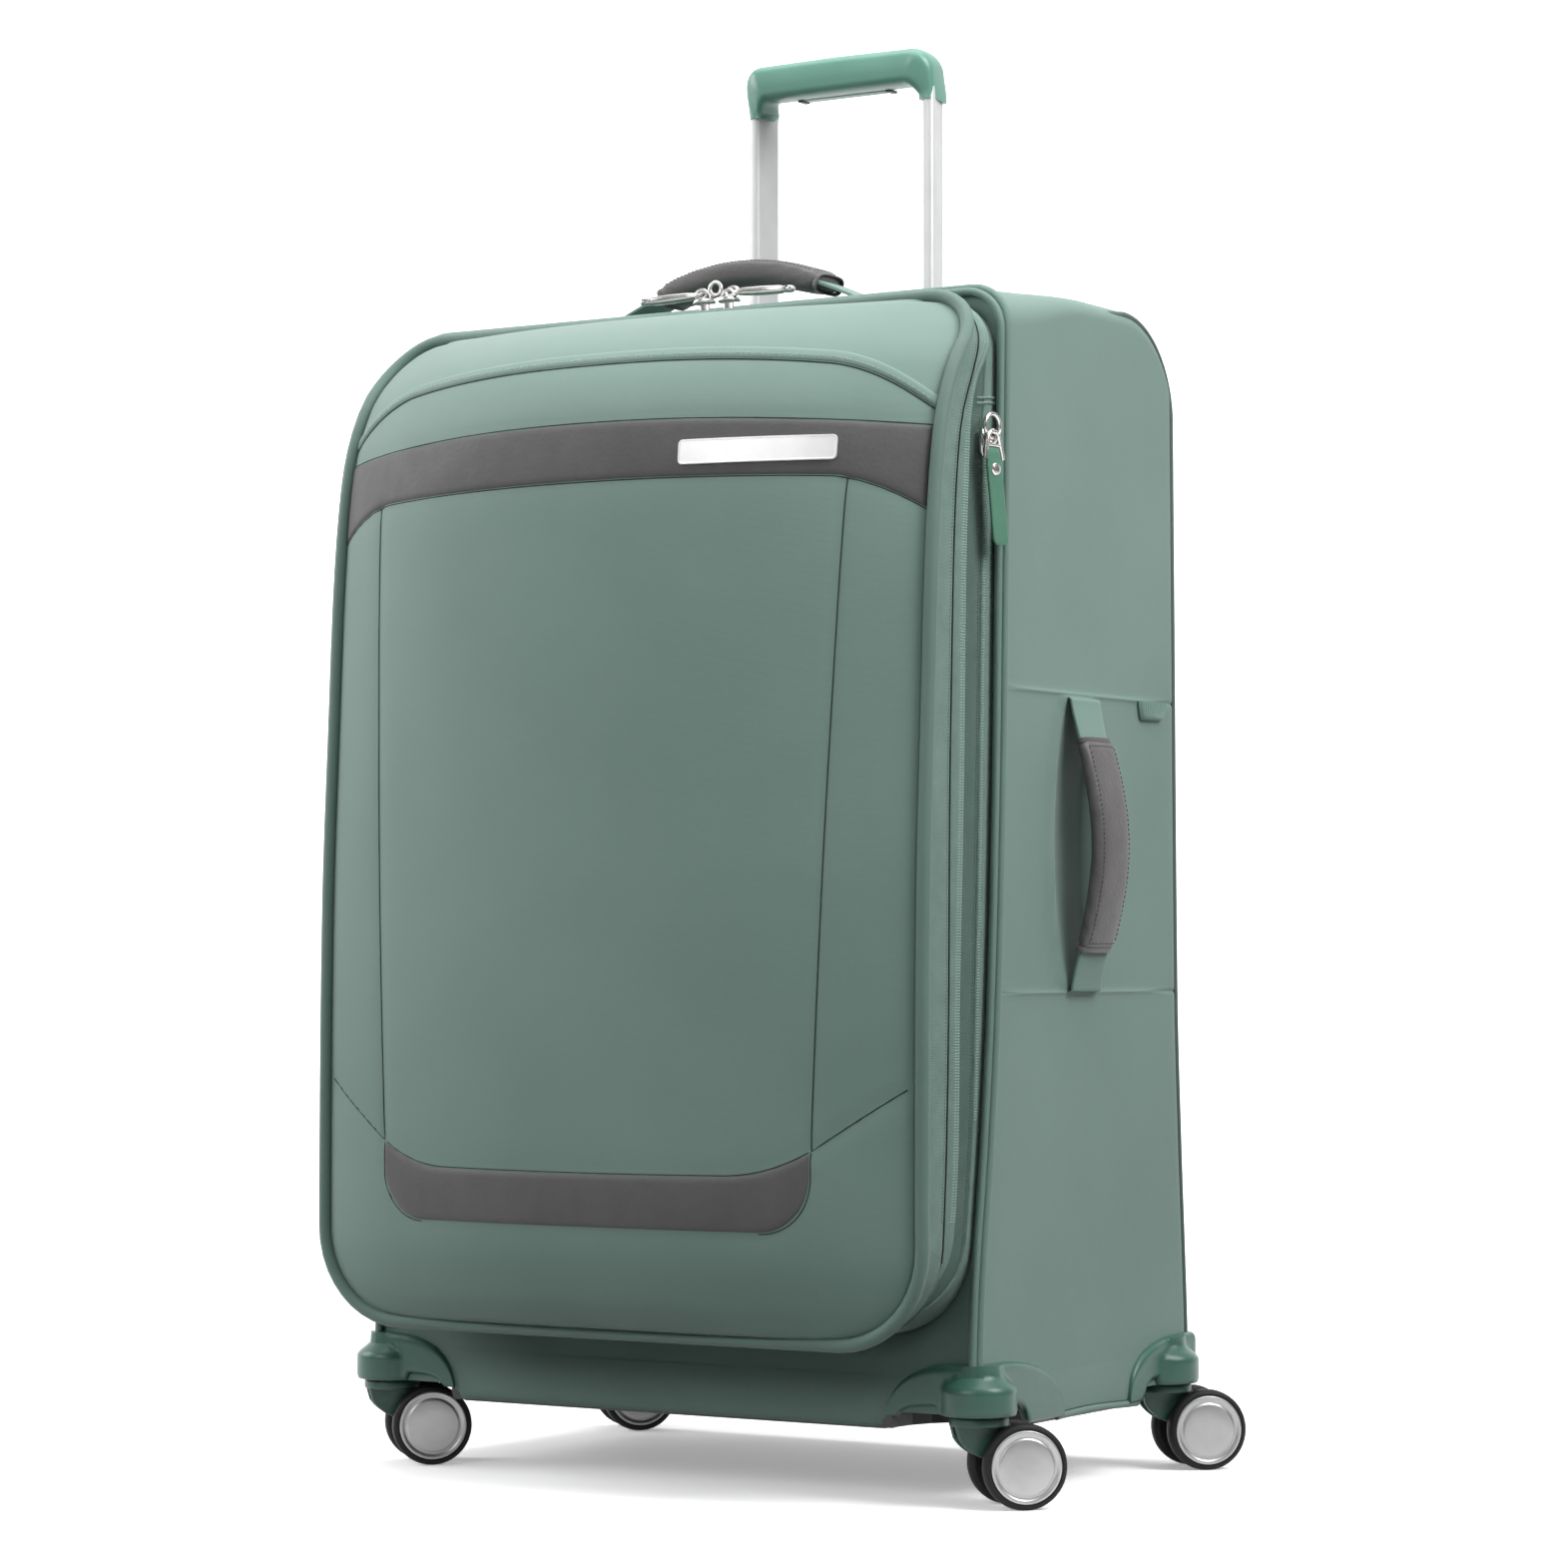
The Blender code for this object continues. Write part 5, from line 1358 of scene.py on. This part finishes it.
def build_carry_handles():
    top = Matrix.Translation((0.004, -0.04, CASE_TOP))
    build_carry_handle("top_handle", top, half=0.106, grip_half=0.0635, rise=0.0305, width=0.032,
                       thick=0.0172, power=0.95)
    side = Matrix.Translation((CASE_HALF, 0.0025, 0.4238)) @ Matrix.Rotation(radians(90), 4, "Y")
    build_carry_handle("side_handle", side, half=0.0967, grip_half=0.069, rise=0.018, width=0.038,
                       thick=0.0116, power=1.3)


# ---------------------------------------------------------------- zip sliders, tabs and plate
def build_main_sliders():
    """Two sliders with long pulls, and the ring that holds them together at the top."""
    for sx, side, x in ((-1, "left", 0.015), (1, "right", 0.034)):
        body = f"slider_{side}"
        path = [(x + sx * d, SLIDER_Y, z)
                for d, z in ((-0.007, 0.788), (-0.005, 0.789), (0.0, 0.7896), (0.005, 0.789),
                             (0.007, 0.788))]
        sections = [rounded_section(w, h, 4, 20)
                    for w, h in ((0.005, 0.002), (0.0082, 0.0034), (0.0094, 0.004),
                                 (0.009, 0.0034), (0.007, 0.002))]
        loft(f"main_slider_body_{side}", swept(path, (0, 1, 0), sections), STEEL, body,
             [f"main_slider_{side}"], caps=(True, True))
        block(f"main_slider_neck_{side}", (x - 0.0035, SLIDER_Y - 0.0008, 0.777),
              (x + 0.0035, SLIDER_Y + 0.0008, 0.789), STEEL, body)
        bridge = [(x + 0.005 * cos(a), SLIDER_Y, 0.7905 + 0.0052 * sin(a))
                  for a in spread(0, pi, 14)]
        tube(f"main_slider_bridge_{side}", bridge, 0.0012, STEEL, body, sides=10)
        start, length = x + sx * 0.0035, 0.048
        path, sections = [], []
        for t, w, h in ((0.0, 0.003, 0.0018), (0.03, 0.0052, 0.003), (0.1, 0.0066, 0.0044),
                        (0.22, 0.0074, 0.0056), (0.5, 0.0078, 0.0062), (0.78, 0.0074, 0.0058),
                        (0.84, 0.006, 0.0044), (0.9, 0.007, 0.005), (0.97, 0.0066, 0.0046),
                        (1.0, 0.0036, 0.0024)):
            path.append((start + sx * length * t, SLIDER_Y, 0.7936 - 0.0012 * t))
            sections.append(rounded_section(w, h, 2.8, 24))
        loft(f"main_pull_bar_{side}", swept(path, (0, 1, 0), sections), STEEL, f"pull_{side}",
             [f"main_pull_{side}"], caps=(True, True), sharp=50)
        ring = ring_path((x + sx * 0.003, SLIDER_Y, 0.7942), (1, 0, 0), (0, 0.35, 0.94), 0.0092,
                         0.007, 20)
        tube(f"main_pull_eye_{side}", ring, 0.0011, STEEL, f"pull_{side}", sides=8,
             closed=True)
        tip = (start + sx * (length - 0.004), SLIDER_Y - 0.0032, 0.7928)
        lathe(f"main_pull_hole_{side}", tip, (0, -1, 0),
              [(0.0004, -0.0004), (0.0014, -0.0004), (0.0017, 0.0002), (0.0014, 0.0004),
               (0.0008, -0.0002)], BLACK, f"pull_{side}", count=16)
    ring = ring_path((0.0235, SLIDER_Y, 0.7972), (0.94, 0.34, 0), (0, 0, 1), 0.0078, 0.0088, 24)
    tube("slider_lock_ring", ring, 0.0013, STEEL, "slider_left", sides=10, closed=True)


def build_expansion_slider():
    """The expansion zip's slider with its ring, bail and leather tab."""
    x, y = BAND_HALF + 0.0012, front_y(EXPANSION_SLIDER_Z) - 0.022
    body, tab_body = "expansion_slider", "expansion_tab"
    path = [(x + 0.0022, y, EXPANSION_SLIDER_Z + d)
            for d in (0.0088, 0.0066, 0.0, -0.0066, -0.0088)]
    sections = [rounded_section(w, h, 3.5, 20)
                for w, h in ((0.006, 0.0022), (0.0092, 0.004), (0.0104, 0.0046), (0.0092, 0.004),
                             (0.0056, 0.0022))]
    loft("expansion_slider_body", swept(path, (0, 1, 0), sections), STEEL, body,
         ["expansion_slider"], caps=(True, True))
    side, up = Vector((0.2, 0.98, 0)).normalized(), Vector((0, 0, 1))
    centre = Vector((x + 0.0078, y + 0.0008, EXPANSION_SLIDER_Z + 0.0095))
    tube("expansion_ring", ring_path(centre + up * 0.0008, side, up, 0.0142, 0.0158), 0.0015,
         STEEL, body, sides=12, closed=True)
    tube("expansion_bridge", ring_path(centre - up * 0.006, (0.6, 0.4, 0.0), (0, 0, 1), 0.007,
                                       0.0085), 0.0011, STEEL, body, sides=10, closed=True)
    foot = Vector((x + 0.0098, y + 0.002, EXPANSION_SLIDER_Z))
    bail = [foot + side * a + up * b
            for a, b in ((-0.01, -0.0115), (-0.0098, -0.007), (-0.009, -0.001), (-0.008, 0.004),
                         (-0.0054, 0.0064), (-0.0006, 0.0064), (0.0022, 0.0038), (0.0038, -0.0016),
                         (0.0054, -0.0066), (0.0066, -0.0112))]
    tube("expansion_bail", bail, 0.0016, STEEL, tab_body, sides=10)
    bar = [foot + side * a + up * -0.0022 for a in spread(-0.0088, 0.0038, 8)]
    tube("expansion_bail_bar", bar, 0.0013, STEEL, tab_body, sides=10)
    # leather tab folded over the bar, with a rivet
    outward = Vector((side.y, -side.x, 0))
    rings = []
    for t in spread(0, 1, 30):
        z = EXPANSION_SLIDER_Z - 0.004 - 0.062 * t
        wide = 0.0128 + 0.0014 * smooth(t / 0.25)
        if t > 0.96:
            wide -= 0.004 * (1 - sqrt(max(1 - ((t - 0.96) / 0.04) ** 2, 0)))
        if t < 0.06:
            wide -= 0.003 * (1 - t / 0.06)
        thick = 0.0024 * (1 if 0.02 < t < 0.985 else 0.6)
        middle = Vector((x + 0.0096 + 0.0016 * t, y - 0.0022 + 0.0078 * t, z))
        rings.append([middle + side * a + outward * b
                      for a, b in rounded_section(wide, thick, 5, 28)])
    loft("expansion_leather_tab", rings, GREEN_LEATHER, tab_body,
         ["expansion_pull_tab"], caps=(True, True), sharp=50)
    spot = Vector((x + 0.01, y - 0.0004, EXPANSION_SLIDER_Z - 0.0178)) + outward * 0.0011
    lathe("expansion_rivet", spot, outward,
          [(0.0041, -0.0004), (0.0041, 0.0004), (0.0036, 0.0011), (0.002, 0.0015),
           (0.0004, 0.0016)], STEEL, tab_body, count=28)
    # bar tacks where the expansion zip runs into its garage
    for sx, side_name in reversed(SIDES):
        for n, z in enumerate((0.7066, 0.71)):
            line = [(sx * (BAND_HALF + 0.0006), yy, z + (yy + 0.113) * 0.1)
                    for yy in spread(-0.1262, -0.1003, 16)]
            stitch_row(f"garage_tack_{side_name}_{n + 1}", line, (0.0016, 0.0016, 0.0007), THREAD,
                       "expander", pitch=0.0027, out=band_out)


def build_tag():
    """Ribbed thumb tab of the slide-out address tag, its back sunk into the side panel at the tag's
    slit.
    """
    x = CASE_HALF
    rings = []
    for t in spread(0, 1, 14):
        z = 0.5236 - 0.0128 * t
        low, high = 0.083 + 0.0036 * t ** 1.6, 0.123 - 0.009 * t ** 1.6
        ring = []
        for k in range(64):
            share = k / 63
            y = low + (high - low) * share
            ribbed = 0.06 < share < 0.94 and 0.05 < t < 0.85
            rib = 0.00045 * cos(2 * pi * share * 11) if ribbed else 0.0
            edge = smooth(min(share, 1 - share) / 0.06) * smooth((1 - t) / 0.12)
            ring.append((x + 0.0008 + (0.002 + rib) * edge, y, z))
        ring += [(x - 0.0006, high, z), (x - 0.0006, low, z)]
        rings.append(ring)
    loft("tag_tab", rings, STRAP, "id_tag", ["id_tag"], caps=(True, True),
         sharp=50)


def build_name_plate():
    """Blank satin plate on the upper grey band."""
    left, right, low, high, radius = 0.0765, 0.178, 0.6636, 0.6796, 0.003

    def outline_at(inset, lift):
        ring, count = [], 8
        r = max(radius - inset, 0.0006)
        for cx, cz, start in ((right - radius, high - radius, 0),
                              (left + radius, high - radius, 90),
                              (left + radius, low + radius, 180),
                              (right - radius, low + radius, 270)):
            ring += arc(cx, cz, r, [radians(start + 90 * k / count) for k in range(count + 1)])
            if start in (0, 180):
                nx = left + radius if start == 0 else right - radius
                level = cz + r * sin(radians(start + 90))
                ring += [(cx + (nx - cx) * j / 13, level) for j in range(1, 13)]
        return [Vector((px, lid_base_y(px, pz), pz)) + lid_normal(px, pz) * lift for px, pz in ring]

    rings = [outline_at(0.0, 0.0002), outline_at(0.0, 0.0026), outline_at(0.0003, 0.003),
             outline_at(0.0009, 0.003), outline_at(0.0014, 0.0026)]
    loft("name_plate_rim", rings, PLATE, "lid", ["name_plate"], sharp=30)
    rows = 7
    grid = []
    for r in range(rows):
        z = low + 0.0012 + (high - low - 0.0024) * r / (rows - 1)
        grid.append([Vector((px, lid_base_y(px, z), z)) + lid_normal(px, z) * 0.00262
                     for px in spread(left + 0.0012, right - 0.0012, 28)])
    face = loft("name_plate_face", grid, PLATE, "lid", closed=False, sharp=60)
    face_front(face, 0)


# ---------------------------------------------------------------- inside
def build_inside():
    """Packing straps of thin webbing over the back board, lying in soft waves."""
    for sx, side in SIDES:
        rings = []
        for t in spread(0, 1, 40):
            px = sx * (0.0222 + 0.1924 * t)
            lift = 0.0012 + 0.0016 * sin(t * pi) * (1 + 0.5 * sin(t * 9.0))
            rings.append([Vector((px, 0.0756 - lift, 0.4125)) + Vector((0, b, a))
                          for a, b in rounded_section(0.025, 0.0011, 5, 20)])
        loft(f"packing_webbing_{side}", rings, TAPE_DARK, "case",
             [f"packing_strap_{side}"], caps=(True, True), sharp=50, flip=sx < 0)


# ---------------------------------------------------------------- stage and camera
def build_stage():
    """Pale floor with a curved backdrop, and the studio's soft surrounding light."""
    floor = bpy.data.meshes.new("floor")
    profile = [(-6.0, 0.0), (1.2, 0.0)]
    for k in range(1, 13):
        angle = radians(7.5 * k)
        profile.append((1.2 + 1.6 * sin(angle), 1.6 - 1.6 * cos(angle)))
    profile.append((2.8, 6.0))
    verts, faces = [], []
    turn = Matrix.Rotation(radians(32), 4, "Z")
    for along, up in profile:
        for across in (-7.0, 7.0):
            verts.append(tuple(turn @ Vector((across, along, up))))
    for k in range(len(profile) - 1):
        faces.append((2 * k, 2 * k + 1, 2 * k + 3, 2 * k + 2))
    floor.from_pydata(verts, [], faces)
    floor.shade_smooth()
    paint = Paint("studio_floor", rough=0.7, spec=0.2)
    paint.colour(srgb(249, 249, 249), srgb(252, 252, 252), paint.noise(1.5))
    # painted light: the floor glows, weakly within 1.3 m of the case so that the case's shadow on
    # it is lightened, and fully beyond 3.2 m so that the far floor and backdrop turn white
    paint.shader.inputs["Emission Color"].default_value = (1.0, 1.0, 1.0, 1.0)
    reach = paint.node("ShaderNodeVectorMath")
    reach.operation = "LENGTH"
    paint.link(paint.coord, reach.inputs[0])
    painted_glow = paint.node("ShaderNodeMapRange")
    for name, value in (("From Min", 1.3), ("From Max", 3.2), ("To Min", 0.3), ("To Max", 1.0)):
        painted_glow.inputs[name].default_value = value
    paint.link(reach.outputs["Value"], painted_glow.inputs["Value"])
    paint.link(painted_glow.outputs["Result"], paint.shader.inputs["Emission Strength"])
    # the curved backdrop can be seen through from behind
    facing = paint.node("ShaderNodeNewGeometry").outputs["Backfacing"]
    clear = paint.node("ShaderNodeBsdfTransparent")
    mix = paint.node("ShaderNodeMixShader")
    paint.link(facing, mix.inputs[0])
    paint.link(paint.shader.outputs["BSDF"], mix.inputs[1])
    paint.link(clear.outputs["BSDF"], mix.inputs[2])
    paint.link(mix.outputs["Shader"], paint.tree.nodes["Material Output"].inputs["Surface"])
    floor.materials.append(paint.mat)
    obj = bpy.data.objects.new("studio_floor", floor)
    obj.visible_diffuse = False
    bpy.context.scene.collection.objects.link(obj)
    world = bpy.data.worlds.new("studio")
    world.use_nodes = True
    tree = world.node_tree
    tree.nodes["Background"].inputs["Strength"].default_value = 0.42
    direction = tree.nodes.new("ShaderNodeTexCoord")
    split = tree.nodes.new("ShaderNodeSeparateXYZ")
    ramp = tree.nodes.new("ShaderNodeValToRGB")
    ramp.color_ramp.elements[0].position = 0.0
    ramp.color_ramp.elements[0].color = (0.12, 0.12, 0.12, 1.0)
    ramp.color_ramp.elements[1].position = 0.45
    ramp.color_ramp.elements[1].color = (1.0, 1.0, 1.0, 1.0)
    tree.links.new(direction.outputs["Generated"], split.inputs["Vector"])
    tree.links.new(split.outputs["Z"], ramp.inputs["Fac"])
    tree.links.new(ramp.outputs["Color"], tree.nodes["Background"].inputs["Color"])
    # plain white behind everything, only for the camera
    white = tree.nodes.new("ShaderNodeBackground")
    white.inputs["Color"].default_value = (1.0, 1.0, 1.0, 1.0)
    seen = tree.nodes.new("ShaderNodeLightPath")
    mix = tree.nodes.new("ShaderNodeMixShader")
    tree.links.new(seen.outputs["Is Camera Ray"], mix.inputs[0])
    tree.links.new(tree.nodes["Background"].outputs["Background"], mix.inputs[1])
    tree.links.new(white.outputs["Background"], mix.inputs[2])
    tree.links.new(mix.outputs["Shader"], tree.nodes["World Output"].inputs["Surface"])
    bpy.context.scene.world = world
    bpy.context.scene.view_settings.view_transform = "Standard"


def area_light(name, place, target, size, power):
    data = bpy.data.lights.new(name, "AREA")
    data.shape = "RECTANGLE"
    data.size, data.size_y = size
    data.energy = power
    obj = bpy.data.objects.new(name, data)
    obj.location = place
    obj.rotation_euler = (Vector(target) - Vector(place)).to_track_quat("-Z", "Y").to_euler()
    bpy.context.scene.collection.objects.link(obj)


def build_lights():
    area_light("overhead_softbox", (0.1, -0.2, 2.5), (0, -0.05, 0.6), (2.0, 2.0), 46)
    area_light("right_softbox", (1.9, 0.0, 2.0), (0.1, 0, 0.75), (1.3, 1.3), 56)
    area_light("left_softbox", (-2.6, -1.0, 1.6), (-0.1, -0.1, 0.65), (1.6, 1.6), 50)
    area_light("front_softbox", (-0.4, -3.0, 1.9), (0, 0, 0.75), (1.8, 1.4), 34)


def build_camera():
    data = bpy.data.cameras.new("camera")
    data.lens = 100.5
    data.sensor_width = 36
    camera = bpy.data.objects.new("camera", data)
    place = Vector((1.6123, -2.5625, 0.3534)) + SHIFT
    target = Vector((0.00657, 0.0, 0.46909)) + SHIFT
    camera.location = place
    camera.rotation_euler = (target - place).to_track_quat("-Z", "Y").to_euler()
    bpy.context.scene.collection.objects.link(camera)
    bpy.context.scene.camera = camera


def repaint(names, mat):
    for name in names:
        mesh = NODES[name].data
        mesh.materials.clear()
        mesh.materials.append(mat)


def paint_frame():
    """Better materials for the CAD nodes that stay in view."""
    repaint(["frame_hoop_front", "frame_hoop_rear", "lid_frame_hoop", "push_rod_left",
             "push_rod_right"], STEEL)
    repaint(["base_tray", "back_board", "foot_bracket", "lock_block_left", "lock_block_right",
             "strap_buckle"], BLACK)
    repaint(["inner_tube_left", "inner_tube_right", "outer_tube_left", "outer_tube_right"],
            ALUMINIUM)
    repaint([f"axle_{end}_{side}" for end in ("front", "rear") for side in ("left", "right")],
            STEEL)


build_camera()
build_stage()
build_lights()
paint_frame()
build_case()
build_case_pipings()
build_gusset()
build_lid()
build_lid_details()
build_base()
build_running_gear()
build_pull_handle()
build_carry_handles()
build_main_sliders()
build_expansion_slider()
build_tag()
build_name_plate()
build_inside()
